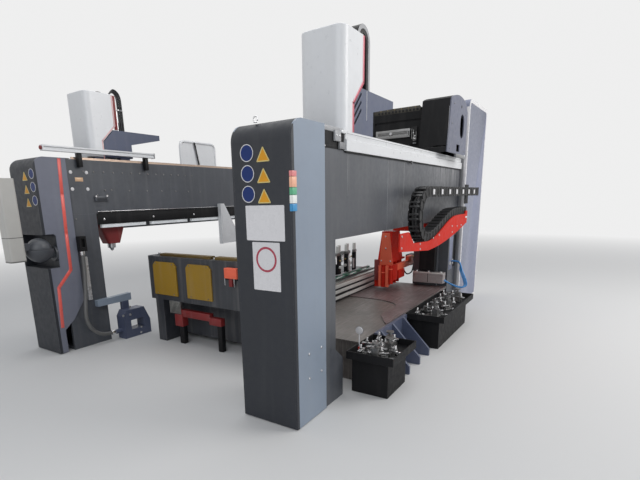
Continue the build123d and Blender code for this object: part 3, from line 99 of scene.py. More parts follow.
MINUS_X = Vector((-1, 0, 0))
PLUS_X = Vector((1, 0, 0))
MINUS_Y = Vector((0, -1, 0))
PLUS_Y = Vector((0, 1, 0))
UP = Vector((0, 0, 1))


def at(x, y, z):
    return Vector((x - ORIGIN_X, y - ORIGIN_Y, z)) / MM


# Node groups and finishes


def feed(tree, socket, value):
    """Links a socket to socket, or sets any other value on it."""
    if isinstance(value, bpy.types.NodeSocket):
        tree.links.new(value, socket)
    else:
        socket.default_value = value


def add_node(tree, kind, **sockets):
    made = tree.nodes.new(kind)
    for key, value in sockets.items():
        feed(tree, made.inputs[key.replace("_", " ")], value)
    return made


def operate(tree, kind, operation, *values):
    """A node that works on its inputs in the way that operation names."""
    made = tree.nodes.new(kind)
    made.operation = operation
    for socket, value in zip(made.inputs, values):
        feed(tree, socket, value)
    return made


def calc(tree, operation, *values):
    return operate(tree, "ShaderNodeMath", operation, *values).outputs[0]


def spread(tree, value, low, high, to_low, to_high):
    """Maps value from the range low to high onto the range to_low to to_high, and no further."""
    made = add_node(tree, "ShaderNodeMapRange", Value=value, From_Min=low, From_Max=high, To_Min=to_low,
                    To_Max=to_high)
    return made.outputs[0]


# Where a Mix node keeps its sockets for colours
MIX_SHARE = 0
MIX_FIRST = 6
MIX_SECOND = 7
MIX_RESULT = 2


def blend_colours(tree, share, first, second):
    made = tree.nodes.new("ShaderNodeMix")
    made.data_type = "RGBA"
    for place, value in ((MIX_SHARE, share), (MIX_FIRST, first), (MIX_SECOND, second)):
        feed(tree, made.inputs[place], value)
    return made.outputs[MIX_RESULT]


def mix_shaders(tree, share, first, second):
    made = tree.nodes.new("ShaderNodeMixShader")
    for socket, value in zip(made.inputs, (share, first.outputs[0], second.outputs[0])):
        feed(tree, socket, value)
    return made


def noise(tree, place, scale, detail):
    return add_node(tree, "ShaderNodeTexNoise", Vector=place, Scale=scale, Detail=detail).outputs[0]


def stretched(tree, place, scales):
    return operate(tree, "ShaderNodeVectorMath", "MULTIPLY", place, scales).outputs[0]


def object_place(tree):
    return tree.nodes.new("ShaderNodeTexCoord").outputs["Object"]


def object_axes(tree):
    return add_node(tree, "ShaderNodeSeparateXYZ", Vector=object_place(tree)).outputs


def start_group(name, inputs, outputs):
    tree = bpy.data.node_groups.new(name, "ShaderNodeTree")
    kinds = {float: "NodeSocketFloat", tuple: "NodeSocketColor", Vector: "NodeSocketVector"}
    for label, default in inputs.items():
        socket = tree.interface.new_socket(label, in_out="INPUT", socket_type=kinds[type(default)])
        socket.default_value = default
    for label, kind in outputs.items():
        tree.interface.new_socket(label, in_out="OUTPUT", socket_type=kinds[kind])
    return tree, tree.nodes.new("NodeGroupInput").outputs, tree.nodes.new("NodeGroupOutput").inputs


def toned(tree, colour, value, low, high, contrast):
    """The colour made darker and lighter by contrast, as value goes from low to high."""
    dark = calc(tree, "SUBTRACT", 1.0, contrast)
    light = calc(tree, "ADD", 1.0, contrast)
    shade = spread(tree, value, low, high, dark, light)
    return add_node(tree, "ShaderNodeHueSaturation", Color=colour, Value=shade).outputs[0]


def make_paint_skin():
    """Paint with slow drift in tone, fine orange peel and dust that has run down it."""
    inputs = {"Colour": (0.5, 0.5, 0.5, 1.0), "Drift": 0.1, "Drift Scale": 1.6, "Grain Scale": 160.0,
              "Dust": 0.1, "Roughness": 0.45}
    outputs = {"Colour": tuple, "Roughness": float, "Height": float}
    tree, given, out = start_group("paint_skin", inputs, outputs)
    place = object_place(tree)
    broad = noise(tree, place, given["Drift Scale"], 4.0)
    fine = noise(tree, place, given["Grain Scale"], 2.0)
    mottle = noise(tree, place, 24.0, 5.0)
    runs = noise(tree, stretched(tree, place, Vector((16.0, 16.0, 1.1))), 1.0, 4.0)
    both = calc(tree, "ADD", calc(tree, "MULTIPLY", broad, 0.7), calc(tree, "MULTIPLY", mottle, 0.3))
    paint = toned(tree, given["Colour"], both, 0.35, 0.65, given["Drift"])
    dust = calc(tree, "MULTIPLY", spread(tree, runs, 0.5, 0.78, 0.0, 1.0), given["Dust"])
    feed(tree, out["Colour"], blend_colours(tree, dust, paint, (0.5, 0.48, 0.45, 1.0)))
    rough = calc(tree, "ADD", given["Roughness"], spread(tree, mottle, 0.3, 0.7, -0.09, 0.09))
    feed(tree, out["Roughness"], calc(tree, "ADD", rough, calc(tree, "MULTIPLY", dust, 0.25)))
    feed(tree, out["Height"], calc(tree, "ADD", fine, calc(tree, "MULTIPLY", mottle, 0.5)))


def make_brushed_metal():
    """Metal with fine tool lines along one way, and patches that are duller."""
    inputs = {"Colour": (0.6, 0.6, 0.6, 1.0), "Line Scales": Vector((4.0, 300.0, 300.0)), "Contrast": 0.15,
              "Roughness": 0.3}
    outputs = {"Colour": tuple, "Roughness": float, "Height": float}
    tree, given, out = start_group("brushed_metal", inputs, outputs)
    place = object_place(tree)
    lines = noise(tree, stretched(tree, place, given["Line Scales"]), 1.0, 4.0)
    patches = noise(tree, place, 9.0, 4.0)
    metal = toned(tree, given["Colour"], lines, 0.3, 0.7, given["Contrast"])
    stain = spread(tree, patches, 0.55, 0.8, 0.0, 0.35)
    feed(tree, out["Colour"], blend_colours(tree, stain, metal, (0.22, 0.2, 0.18, 1.0)))
    rough = calc(tree, "ADD", given["Roughness"], spread(tree, lines, 0.3, 0.7, -0.08, 0.12))
    feed(tree, out["Roughness"], calc(tree, "ADD", rough, calc(tree, "MULTIPLY", stain, 0.5)))
    feed(tree, out["Height"], lines)


def make_edge_wear():
    """Where an edge is rubbed bare, and the normal of the softened edge."""
    tree, given, out = start_group("edge_wear", {"Width": 0.003, "Amount": 0.5},
                                   {"Mask": float, "Normal": Vector})
    soft = add_node(tree, "ShaderNodeBevel", Radius=given["Width"])
    soft.samples = 4
    flat = tree.nodes.new("ShaderNodeNewGeometry").outputs["Normal"]
    turn = operate(tree, "ShaderNodeVectorMath", "DOT_PRODUCT", soft.outputs[0], flat).outputs["Value"]
    edge = spread(tree, turn, 0.995, 0.85, 0.0, 1.0)
    chipped = spread(tree, noise(tree, object_place(tree), 38.0, 5.0), 0.42, 0.6, 0.0, 1.0)
    feed(tree, out["Mask"], calc(tree, "MULTIPLY", calc(tree, "MULTIPLY", edge, chipped), given["Amount"]))
    feed(tree, out["Normal"], soft.outputs[0])


def use_group(tree, group, **sockets):
    made = tree.nodes.new("ShaderNodeGroup")
    made.node_tree = bpy.data.node_groups[group]
    for key, value in sockets.items():
        feed(tree, made.inputs[key.replace("_", " ")], value)
    return made.outputs


def start_material(name):
    material = bpy.data.materials.new(name)
    material.use_nodes = True
    material.node_tree.nodes.clear()
    return material, material.node_tree


def end_material(tree, shader):
    output = tree.nodes.new("ShaderNodeOutputMaterial")
    tree.links.new(shader.outputs[0], output.inputs[0])


def full(colour):
    return (*colour[:3], 1.0)


def skinned(name, skin, edge, wear, worn, bump, depth, metallic, marks, **values):
    """A material with a skin group's colour and grain, rubbed bare to the colour worn along its edges."""
    material, tree = start_material(name)
    made = use_group(tree, skin, **values)
    rim = use_group(tree, "edge_wear", Width=edge, Amount=wear)
    shown = blend_colours(tree, rim["Mask"], made["Colour"], full(worn))
    if marks:
        shown = marks(tree, shown)
    grain = add_node(tree, "ShaderNodeBump", Strength=bump, Distance=depth, Height=made["Height"],
                     Normal=rim["Normal"])
    shader = add_node(tree, "ShaderNodeBsdfPrincipled", Base_Color=shown, Roughness=made["Roughness"],
                      Metallic=metallic, Normal=grain.outputs[0])
    end_material(tree, shader)
    return material, shader


def painted(name, colour, drift, dust, rough, wear, drift_scale=1.6, grain=160.0, bump=0.15,
            worn=(0.42, 0.42, 0.43), metallic=0.0, coat=0.0, edge=0.003, marks=None, specular=0.5):
    """A paint or plastic finish. marks is a function that puts this finish's own marks over the colour."""
    material, shader = skinned(name, "paint_skin", edge, wear, worn, bump, 0.001, metallic, marks,
                               Colour=full(colour), Drift=drift, Drift_Scale=drift_scale, Grain_Scale=grain,
                               Dust=dust, Roughness=rough)
    shader.inputs["Specular IOR Level"].default_value = specular
    shader.inputs["Coat Weight"].default_value = coat
    shader.inputs["Coat Roughness"].default_value = 0.2
    return material


def brushed(name, colour, lines, rough, contrast=0.15, bump=0.1):
    """A metal finish, with tool lines along the way whose scale in lines is small."""
    return skinned(name, "brushed_metal", 0.0015, 0.6, (0.75, 0.75, 0.76), bump, 0.0006, 1.0, None,
                   Colour=full(colour), Line_Scales=Vector(lines), Contrast=contrast, Roughness=rough)[0]


def glowing(name, colour, strength):
    """A lit diffuser: brighter in its middle patches than at the ends of each lamp."""
    material, tree = start_material(name)
    patch = spread(tree, noise(tree, object_place(tree), 6.0, 2.0), 0.3, 0.7, 0.85, 1.05)
    tone = add_node(tree, "ShaderNodeHueSaturation", Color=full(colour), Value=patch).outputs[0]
    shader = add_node(tree, "ShaderNodeBsdfPrincipled", Base_Color=tone, Roughness=0.35, Emission_Color=tone,
                      Emission_Strength=strength)
    end_material(tree, shader)
    return material


def dust_below_duct(tree, shown):
    """Pale dust that has run down the near beam below the duct, towards the rear."""
    axes = object_axes(tree)
    along = spread(tree, axes[0], 0.15, 0.9, 0.0, 1.0)
    down = spread(tree, axes[2], 1.45, 1.76, 0.0, 1.0)
    near = spread(tree, axes[1], -1.40, -1.46, 0.0, 1.0)
    runs = noise(tree, stretched(tree, object_place(tree), Vector((26.0, 26.0, 2.4))), 1.0, 6.0)
    streaks = spread(tree, runs, 0.42, 0.7, 0.0, 0.75)
    mask = calc(tree, "MULTIPLY", calc(tree, "MULTIPLY", along, down), streaks)
    return blend_colours(tree, calc(tree, "MULTIPLY", mask, near), shown, (0.42, 0.41, 0.42, 1.0))


def plate_scratches(tree, shown):
    """Long scratches and rubbed patches of a steel floor plate."""
    place = object_place(tree)
    lines = noise(tree, stretched(tree, place, Vector((3.0, 60.0, 3.0))), 1.0, 6.0)
    rubbed = noise(tree, stretched(tree, place, Vector((2.2, 4.0, 2.0))), 1.0, 5.0)
    scratches = spread(tree, lines, 0.5, 0.62, 0.0, 0.5)
    mask = calc(tree, "MULTIPLY", scratches, spread(tree, rubbed, 0.4, 0.65, 0.15, 1.0))
    return blend_colours(tree, mask, shown, (0.3, 0.26, 0.25, 1.0))


def cover_wrap(tree, shown):
    """The end cover's dark paint, carried round onto the first stretch of a side plate."""
    edge = at(COVER_WRAP, 0, 0).x
    wrap = spread(tree, object_axes(tree)[0], edge, edge + 0.002, 1.0, 0.0)
    return blend_colours(tree, wrap, shown, (0.02, 0.023, 0.03, 1.0))


def console_seam(tree, shown):
    """The dark joint between the halves of the console's column, its shaded foot and its dark knuckle."""
    axes = object_axes(tree)
    off = calc(tree, "ABSOLUTE", calc(tree, "SUBTRACT", axes[2], CONSOLE_SEAM))
    joint = spread(tree, off, 0.002, 0.004, 0.9, 0.0)
    foot = spread(tree, axes[2], 0.968, 0.976, 0.8, 0.0)
    lined = blend_colours(tree, calc(tree, "MAXIMUM", joint, foot), shown, (0.05, 0.05, 0.05, 1.0))
    knuckle = spread(tree, axes[0], at(-168, 0, 0).x, at(-164, 0, 0).x, 0.0, 1.0)
    return blend_colours(tree, knuckle, lined, (0.07, 0.075, 0.085, 1.0))


# Paints and plastics: colour, or the name of its property, drift, dust, roughness and wear, and what
# else of painted() is their own
PAINTS = {
    "beam_paint": ("beam_paint", 0.16, 0.06, 0.42, 0.35, dict(grain=240.0, marks=dust_below_duct)),
    "cover_paint": ("cover_paint", 0.14, 0.02, 0.55, 0.25, dict(grain=300.0, bump=0.3)),
    "blue_grey_paint": ("side_paint", 0.05, 0.05, 0.4, 0.3, {}),
    "plate_paint": ("side_paint", 0.06, 0.05, 0.4, 0.3, dict(marks=cover_wrap)),
    # The side plates' blue grey darkened for the far inner plate: painted shade, as that plate lies in shade
    "far_plate_shade": ((0.17, 0.18, 0.225), 0.08, 0.04, 0.45, 0.3, dict(marks=cover_wrap)),
    "slate_paint": ((0.07, 0.085, 0.14), 0.12, 0.04, 0.45, 0.35, {}),
    "guard_paint": ((0.2, 0.22, 0.31), 0.06, 0.05, 0.45, 0.2, {}),
    "drum_paint": ((0.105, 0.115, 0.165), 0.1, 0.08, 0.45, 0.4, {}),
    "mount_paint": ((0.07, 0.075, 0.085), 0.1, 0.03, 0.4, 0.3, dict(specular=0.4)),
    # Red brightened for the side head and the table's clamp: painted light on their shaded faces
    "bright_red": ((0.95, 0.17, 0.09), 0.06, 0.02, 0.5, 0.3, dict(worn=(0.8, 0.3, 0.22), specular=0.3)),
    "pale_bar": ((0.74, 0.74, 0.7), 0.1, 0.08, 0.4, 0.3, {}),
    "sheet_mauve": ((0.125, 0.088, 0.088), 0.3, 0.1, 0.45, 0.8,
                    dict(drift_scale=3.5, worn=(0.5, 0.46, 0.44), metallic=0.25, marks=plate_scratches)),
    "silver_paint": ((0.56, 0.56, 0.57), 0.1, 0.05, 0.3, 0.3, dict(metallic=0.4)),
    "hose_grey": ((0.12, 0.12, 0.118), 0.12, 0.06, 0.45, 0.0, dict(grain=340.0)),
    "sign_rim": ((0.7, 0.58, 0.22), 0.05, 0.04, 0.4, 0.0, {}),
    "white_paint": ("white_paint", 0.03, 0.06, 0.35, 0.1, dict(worn=(0.6, 0.6, 0.6), coat=0.2)),
    "console_paint": ("console_paint", 0.04, 0.1, 0.4, 0.15,
                      dict(worn=(0.45, 0.44, 0.42), marks=console_seam)),
    "red_paint": ("red_paint", 0.08, 0.0, 0.6, 0.25, dict(bump=0.2, worn=(0.6, 0.16, 0.1), specular=0.15)),
    "mustard_paint": ("mustard_paint", 0.08, 0.12, 0.5, 0.3, dict(worn=(0.3, 0.25, 0.15))),
    "black_paint": ((0.008, 0.008, 0.009), 0.25, 0.02, 0.6, 0.5, dict(worn=(0.12, 0.12, 0.12), specular=0.2)),
    "table_paint": ((0.035, 0.038, 0.045), 0.25, 0.15, 0.42, 0.6, dict(worn=(0.3, 0.3, 0.3))),
    "floor_steel": ((0.135, 0.122, 0.112), 0.3, 0.1, 0.45, 0.8,
                    dict(drift_scale=3.0, worn=(0.45, 0.42, 0.4), metallic=0.35, marks=plate_scratches)),
    "black_plastic": ((0.008, 0.008, 0.009), 0.2, 0.01, 0.5, 0.35,
                      dict(grain=420.0, worn=(0.06, 0.06, 0.06), edge=0.002, specular=0.25)),
    "bar_plastic": ((0.03, 0.03, 0.031), 0.2, 0.04, 0.25, 0.7,
                    dict(grain=420.0, worn=(0.22, 0.22, 0.21), edge=0.003)),
    # Its ochre rubbed edges are wear and painted highlight
    "chain_olive": ((0.03, 0.026, 0.018), 0.35, 0.03, 0.45, 0.8,
                    dict(drift_scale=9.0, worn=(0.2, 0.14, 0.06), edge=0.004)),
    "pale_grey": ((0.34, 0.345, 0.355), 0.06, 0.06, 0.45, 0.2, {}),
    "lid_plastic": ((0.085, 0.085, 0.087), 0.2, 0.12, 0.5, 0.6,
                    dict(grain=420.0, worn=(0.3, 0.3, 0.29), edge=0.002)),
    "grey_plastic": ((0.2, 0.205, 0.215), 0.1, 0.06, 0.4, 0.3,
                     dict(grain=300.0, bump=0.35, worn=(0.4, 0.4, 0.4))),
    "dark_rubber": ((0.03, 0.03, 0.033), 0.2, 0.15, 0.6, 0.0, dict(grain=340.0, bump=0.5)),
    "blue_hose": ((0.035, 0.24, 0.58), 0.1, 0.03, 0.3, 0.0, dict(coat=0.4)),
    "green_hose": ((0.02, 0.2, 0.12), 0.2, 0.05, 0.35, 0.0, dict(coat=0.3)),
    "edge_red": ((0.42, 0.05, 0.085), 0.05, 0.03, 0.5, 0.1, {}),
    "stripe_red": ((0.84, 0.13, 0.105), 0.05, 0.04, 0.35, 0.0, dict(coat=0.2)),
    # The lit half of the near tower's trim, which stands in relief: painted highlight
    "trim_painted_highlight": ((0.78, 0.3, 0.34), 0.05, 0.03, 0.4, 0.1, {}),
    "trim_pink": ((0.72, 0.42, 0.42), 0.05, 0.03, 0.4, 0.1, {}),
    "dark_red": ((0.2, 0.014, 0.014), 0.2, 0.1, 0.5, 0.5, {}),
    "sign_blue": ((0.008, 0.028, 0.145), 0.06, 0.02, 0.45, 0.0, dict(specular=0.3)),
    "sign_amber": ((0.72, 0.33, 0.02), 0.08, 0.03, 0.45, 0.0, dict(specular=0.3)),
    "sign_white": ((0.72, 0.71, 0.72), 0.03, 0.06, 0.3, 0.0, dict(coat=0.4)),
    "label_tan": ((0.72, 0.47, 0.28), 0.06, 0.03, 0.35, 0.0, dict(coat=0.3)),
}

# Metals: colour, scales of their tool lines, roughness, contrast and bump
METALS = {
    "steel": ((0.5, 0.5, 0.51), (300.0, 300.0, 6.0), 0.28),
    "steel_along": ((0.5, 0.5, 0.51), (5.0, 320.0, 320.0), 0.26),
    "worn_steel": ((0.27, 0.27, 0.27), (240.0, 5.0, 240.0), 0.42, 0.3),
    "dark_steel": ((0.2, 0.2, 0.2), (120.0, 120.0, 120.0), 0.4, 0.3),
    "bright_steel": ((0.72, 0.72, 0.73), (160.0, 160.0, 160.0), 0.2),
    "aluminium": ((0.52, 0.52, 0.5), (5.0, 360.0, 360.0), 0.32, 0.1),
    "cast_aluminium": ((0.4, 0.37, 0.37), (90.0, 90.0, 90.0), 0.5, 0.15, 0.4),
    "copper_strip": ((0.52, 0.4, 0.32), (5.0, 300.0, 300.0), 0.35),
    "brass": ((0.42, 0.3, 0.12), (140.0, 140.0, 140.0), 0.32, 0.25),
    "brass_strip": ((0.2, 0.14, 0.055), (200.0, 6.0, 200.0), 0.42, 0.3),
}

# Lamps: colour and strength
LAMPS = {
    "lamp_white": ((0.8, 0.83, 0.85), 0.12),
    "lamp_red": ((0.75, 0.25, 0.25), 0.12),
    "lamp_orange": ((0.85, 0.45, 0.3), 0.12),
    "lamp_green": ((0.12, 0.45, 0.25), 0.1),
    "lamp_pale": ((0.82, 0.84, 0.8), 0.12),
    "lamp_blue": ((0.05, 0.28, 0.55), 0.1),
}

FINISHES = {}


def make_finishes(look):
    make_paint_skin()
    make_brushed_metal()
    make_edge_wear()
    for name, (colour, drift, dust, rough, wear, others) in PAINTS.items():
        shown = getattr(look, colour) if isinstance(colour, str) else colour
        FINISHES[name] = painted(name, shown, drift, dust, rough, wear, **others)
    for name, values in METALS.items():
        FINISHES[name] = brushed(name, *values)
    for name, values in LAMPS.items():
        FINISHES[name] = glowing(name, *values)


NODE_FINISHES = {
    "beam_paint": ("outer_beams", "inner_beams", "front_legs", "rear_legs"),
    "cover_paint": ("near_end_cover", "far_end_cover"),
    "plate_paint": ("outer_plates", "near_inner_plate"),
    # The far inner plate takes the darker blue grey, which is painted shade
    "far_plate_shade": ("far_inner_plate",),
    "slate_paint": ("near_tower_saddle", "far_tower_saddle", "base_clamp", "tray_bracket"),
    "guard_paint": ("guard_panels",),
    "drum_paint": ("drum_end_plate",),
    "blue_grey_paint": ("clamp_bar",),
    "white_paint": ("near_tower_cover", "far_tower_cover", "cable_ducts", "top_rail", "window_guard",
                    "rear_gusset"),
    "console_paint": ("console_column",),
    "red_paint": ("head_bracket", "chain_arm", "near_tower_head"),
    "dark_red": ("far_tower_head",),
    "mustard_paint": ("end_panels",),
    "black_paint": ("drum_housing", "cross_slide", "cross_base", "control_box", "plinths", "side_trays",
                    "chain_anchor"),
    "table_paint": ("table_frame",),
    "floor_steel": ("floor_plate",),
    "black_plastic": ("near_tower_chain", "far_tower_chain", "slot_box", "side_chain"),
    "chain_olive": ("cross_chain",),
    "mount_paint": ("console_mount",),
    "hose_grey": ("leg_hose",),
    "silver_paint": ("leg_conduit",),
    "steel": ("near_tower_ram", "far_tower_ram", "side_ram", "near_tower_tool", "far_tower_tool", "side_tool",
              "side_spindle"),
    "steel_along": ("guide_rails", "cross_guide"),
    "cast_aluminium": ("valve_unit",),
    "dark_steel": ("tray_clamps",),
    "aluminium": ("side_profiles",),
    "copper_strip": ("edge_strips",),
    "brass_strip": ("clamp_strips",),
    "lamp_white": ("light_bars",),
}


def dress_frame():
    for finish, names in NODE_FINISHES.items():
        for name in names:
            ob = nodes[name]
            if not ob.material_slots:
                ob.data.materials.append(FINISHES[finish])
            for slot in ob.material_slots:
                slot.material = FINISHES[finish]
    undressed = set(nodes) - {name for names in NODE_FINISHES.values() for name in names}
    if undressed:
        raise RuntimeError(f"these nodes have no finish: {sorted(undressed)}")


# Modelling by hand: a primitive, shaped in edit mode. Sizes are in millimetres

ALIGNED = 0.99

def clear_selection():
    if bpy.context.object and bpy.context.object.mode != "OBJECT":
        bpy.ops.object.mode_set(mode="OBJECT")
    bpy.ops.object.select_all(action="DESELECT")


def choose(ob):
    """Makes ob the active object, and the only one that is selected."""
    clear_selection()
    ob.select_set(True)
    bpy.context.view_layer.objects.active = ob


def placed(name, data):
    """An object made from its data and put in the scene."""
    ob = bpy.data.objects.new(name, data)
    bpy.context.scene.collection.objects.link(ob)
    return ob


def settled(name):
    ob = bpy.context.object
    bpy.ops.object.transform_apply(location=True, rotation=True, scale=True)
    ob.name = ob.data.name = name
    return ob


def start_block(name, x, y, z):
    clear_selection()
    low, high = at(x[0], y[0], z[0]), at(x[1], y[1], z[1])
    bpy.ops.mesh.primitive_cube_add(size=1, location=(low + high) / 2, scale=high - low)
    return settled(name)


def start_bar(name, start, end, wide, deep, face):
    """A bar from start to end that is wide across and stands deep out of the face it lies on."""
    clear_selection()
    low, high = at(*start), at(*end)
    along = (high - low).normalized()
    turn = Matrix((along, face, along.cross(face))).transposed()
    size = ((high - low).length, deep / MM, wide / MM)
    middle = (low + high) / 2 + face * deep / 2 / MM
    bpy.ops.mesh.primitive_cube_add(size=1, location=middle, rotation=turn.to_euler(), scale=size)
    return settled(name)


def start_round(name, centre, way, radius, length, sides=24):
    """A cylinder whose foot stands at centre and which rises along way."""
    clear_selection()
    turn = UP.rotation_difference(way).to_euler()
    middle = at(*centre) + way * length / 2 / MM
    bpy.ops.mesh.primitive_cylinder_add(vertices=sides, radius=radius / MM, depth=length / MM,
                                        location=middle, rotation=turn)
    return settled(name)


def open_mesh(ob, faces=None, edges=None):
    """Opens ob for editing with only the faces or edges that pass the test selected."""
    choose(ob)
    bpy.ops.object.mode_set(mode="EDIT")
    bpy.ops.mesh.select_mode(type="FACE" if faces else "EDGE")
    bpy.ops.mesh.select_all(action="DESELECT")
    mesh = bmesh.from_edit_mesh(ob.data)
    for element in mesh.faces if faces else mesh.edges:
        element.select_set(bool((faces or edges)(element)))
    mesh.select_flush_mode()
    bmesh.update_edit_mesh(ob.data)


def close_mesh():
    bpy.ops.object.mode_set(mode="OBJECT")


def seal_mesh():
    """Merges the open mesh's doubles, turns all its faces outwards and closes it."""
    bpy.ops.mesh.select_all(action="SELECT")
    bpy.ops.mesh.remove_doubles(threshold=MERGE_GAP)
    bpy.ops.mesh.normals_make_consistent(inside=False)
    close_mesh()


def all_edges(edge):
    return True


def running(way):
    """A test for edges that run along way."""
    return lambda e: abs((e.verts[1].co - e.verts[0].co).normalized().dot(way)) > ALIGNED


def facing(way):
    """A test for faces that look along way."""
    return lambda f: f.normal.dot(way) > ALIGNED


def rim_of(way):
    """A test for the sharp edges around the faces that look along way."""
    return lambda e: any(f.normal.dot(way) > ALIGNED for f in e.link_faces) and e.calc_face_angle(0) > 0.5


def soften(ob, width, steps=2, edges=all_edges):
    open_mesh(ob, edges=edges)
    bpy.ops.mesh.bevel(offset=width / MM, segments=steps, affect="EDGES")
    close_mesh()
    return ob


def sink(ob, way, rim, depth, slope=0.3, faces=None):
    """Insets the faces that look along way, or pass the test, by rim, and pushes their middle in by depth."""
    open_mesh(ob, faces=faces or facing(way))
    bpy.ops.mesh.inset(thickness=rim / MM, depth=0)
    bpy.ops.mesh.inset(thickness=slope / MM, depth=-depth / MM)
    close_mesh()
    return ob


def coated(ob, finish):
    ob.data.materials.append(FINISHES[finish])
    return ob


def tint(ob, finish, faces):
    """Gives the faces that pass the test another finish."""
    coated(ob, finish)
    for face in ob.data.polygons:
        if faces(face):
            face.material_index = len(ob.data.materials) - 1
    return ob


def joined(pieces, name):
    choose(pieces[0])
    for piece in pieces:
        piece.select_set(True)
    if len(pieces) > 1:
        bpy.ops.object.join()
    pieces[0].name = pieces[0].data.name = name
    return pieces[0]


def copied(source, matrix):
    copy = source.copy()
    copy.data = source.data.copy()
    copy.data.transform(matrix)
    bpy.context.scene.collection.objects.link(copy)
    return copy


def repeated(source, places, name):
    """Source, which stands at the first of places, and its copies at the others, joined in one piece."""
    start = at(*places[0])
    copies = [copied(source, Matrix.Translation(at(*place) - start)) for place in places[1:]]
    return joined([source, *copies], name)


def turned(place, angle, axis, pivot=(0, 0, 0)):
    """Turns what was made about pivot by angle, and takes it to place."""
    return Matrix.Translation(at(*place)) @ Matrix.Rotation(angle, 4, axis) @ Matrix.Translation(-at(*pivot))


def smooth(ob):
    choose(ob)
    bpy.ops.object.shade_smooth_by_angle(angle=SMOOTH_ANGLE)


def finished(ob, body=FRAME_BODY):
    """Smooths a piece that has its finishes, and gives it its body."""
    smooth(ob)
    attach(ob, body)
    return ob


def slab(name, x, y, z, finish, edge=1.0, steps=2):
    """A flat piece with softened edges and a finish of its own."""
    return coated(soften(start_block(name, x, y, z), edge, steps), finish)


def slab_list(name, *rows):
    """Slabs from rows of x, y, z, finish and edge."""
    return [slab(name, *row) for row in rows]


def slabs(name, rows, edge=1.0, body=FRAME_BODY):
    """Slabs from rows of x, y, z and finish, joined in one piece."""
    return finished(joined([slab(name, *row, edge) for row in rows], name), body)


def strut(name, start, end, wide, deep, face, finish, edge=1.0):
    return coated(soften(start_bar(name, start, end, wide, deep, face), edge), finish)


def stud(name, place, way, radius, height, finish, sides=20):
    made = start_round(name, place, way, radius, height, sides)
    return coated(soften(made, 0.2 * min(radius, height), 2, rim_of(way)), finish)


def stud_list(name, *rows):
    """Studs from rows of place, way, radius, height, finish and, where they aren't 20, sides."""
    return [stud(name, *row) for row in rows]


def socket_screw(name, place, way, radius, height, sides=SCREW_SIDES):
    """A cap screw without a finish: a short cylinder with a rounded rim and a sunk socket."""
    screw = soften(start_round(name, place, way, radius, height, sides), 0.18 * radius, 2, rim_of(way))
    top = facing(way)
    return sink(screw, way, 0.42 * radius, 0.55 * height, 0.05 * radius, lambda f: top(f) and len(f.verts) > 6)


def screws(name, places, way, radius, height, finish, body=FRAME_BODY, sides=SCREW_SIDES):
    source = coated(socket_screw(name, places[0], way, radius, height, sides), finish)
    return finished(repeated(source, places, name), body)


def cut_sheet(name, corners, low, high, finish):
    """A flat sheet cut to shape. Each corner is x, y and whether the edge runs smoothly through it."""
    curve = bpy.data.curves.new(name, "CURVE")
    curve.dimensions = "2D"
    curve.fill_mode = "BOTH"
    curve.extrude = (high - low) / 2 / MM
    curve.resolution_u = 6
    line = curve.splines.new("BEZIER")
    line.bezier_points.add(len(corners) - 1)
    line.use_cyclic_u = True
    for point, (x, y, flowing) in zip(line.bezier_points, corners):
        point.co = (*at(x, y, 0)[:2], 0)
        point.handle_left_type = point.handle_right_type = "AUTO" if flowing else "VECTOR"
    ob = placed(name, curve)
    ob.location.z = (low + high) / 2 / MM
    choose(ob)
    bpy.ops.object.convert(target="MESH")
    bpy.ops.object.mode_set(mode="EDIT")
    seal_mesh()
    return coated(settled(name), finish)


def tapered(ob, way, factors, shift=(0, 0, 0)):
    """Resizes the end of ob that looks along way about its own middle, and moves it by shift."""
    open_mesh(ob, faces=facing(way))
    mesh = bmesh.from_edit_mesh(ob.data)
    middle = next(f.calc_center_median() for f in mesh.faces if f.select)
    bpy.ops.transform.resize(value=factors, center_override=middle)
    bpy.ops.transform.translate(value=[step / MM for step in shift])
    close_mesh()
    return ob


def round_line(name, points, radius, sections, steps):
    """A round line that bends smoothly along points, as a curve."""
    curve = bpy.data.curves.new(name, "CURVE")
    curve.dimensions = "3D"
    curve.bevel_depth = radius / MM
    curve.bevel_resolution = sections
    curve.resolution_u = steps
    curve.use_fill_caps = True
    line = curve.splines.new("NURBS")
    line.points.add(len(points) - 1)
    for control, point in zip(line.points, points):
        control.co = (*at(*point), 1)
    line.order_u = 3
    line.use_endpoint_u = True
    return placed(name, curve)


def tube_mesh(name, points, radius, finish, sections=2):
    """A smooth bent tube, as a mesh with its finish."""
    choose(round_line(name, points, radius, sections, 8))
    bpy.ops.object.convert(target="MESH")
    return coated(bpy.context.object, finish)


# Stage

FLOOR_RADIUS = 26
FLOOR_FADE = (5.0, 14.0)
FLOOR_COLOUR = (0.66, 0.66, 0.65, 1.0)
BACKDROP = (0.86, 0.86, 0.86, 1.0)
SKY_COLOUR = (0.9, 0.93, 1.0, 1.0)
SKY_STRENGTH = 0.42
CAMERA_PLACE = (-2120.4, -1421.7, 1452.3)
CAMERA_TURNS = (0.606, -0.2328, -0.0273)


def lay_floor():
    """A pale disc that fades to the backdrop's tone far from the machine."""
    clear_selection()
    bpy.ops.mesh.primitive_circle_add(vertices=96, radius=FLOOR_RADIUS, fill_type="NGON", location=(0, 0, 0))
    floor = settled("stage_floor")
    material, tree = start_material("stage_floor")
    axes = object_axes(tree)
    squares = [calc(tree, "POWER", axis, 2.0) for axis in axes[:2]]
    reach = calc(tree, "SQRT", calc(tree, "ADD", *squares))
    near = add_node(tree, "ShaderNodeBsdfPrincipled", Base_Color=FLOOR_COLOUR, Roughness=0.7)
    glow = add_node(tree, "ShaderNodeEmission", Color=BACKDROP, Strength=1.0)
    end_material(tree, mix_shaders(tree, spread(tree, reach, *FLOOR_FADE, 0.0, 1.0), near, glow))
    floor.data.materials.append(material)


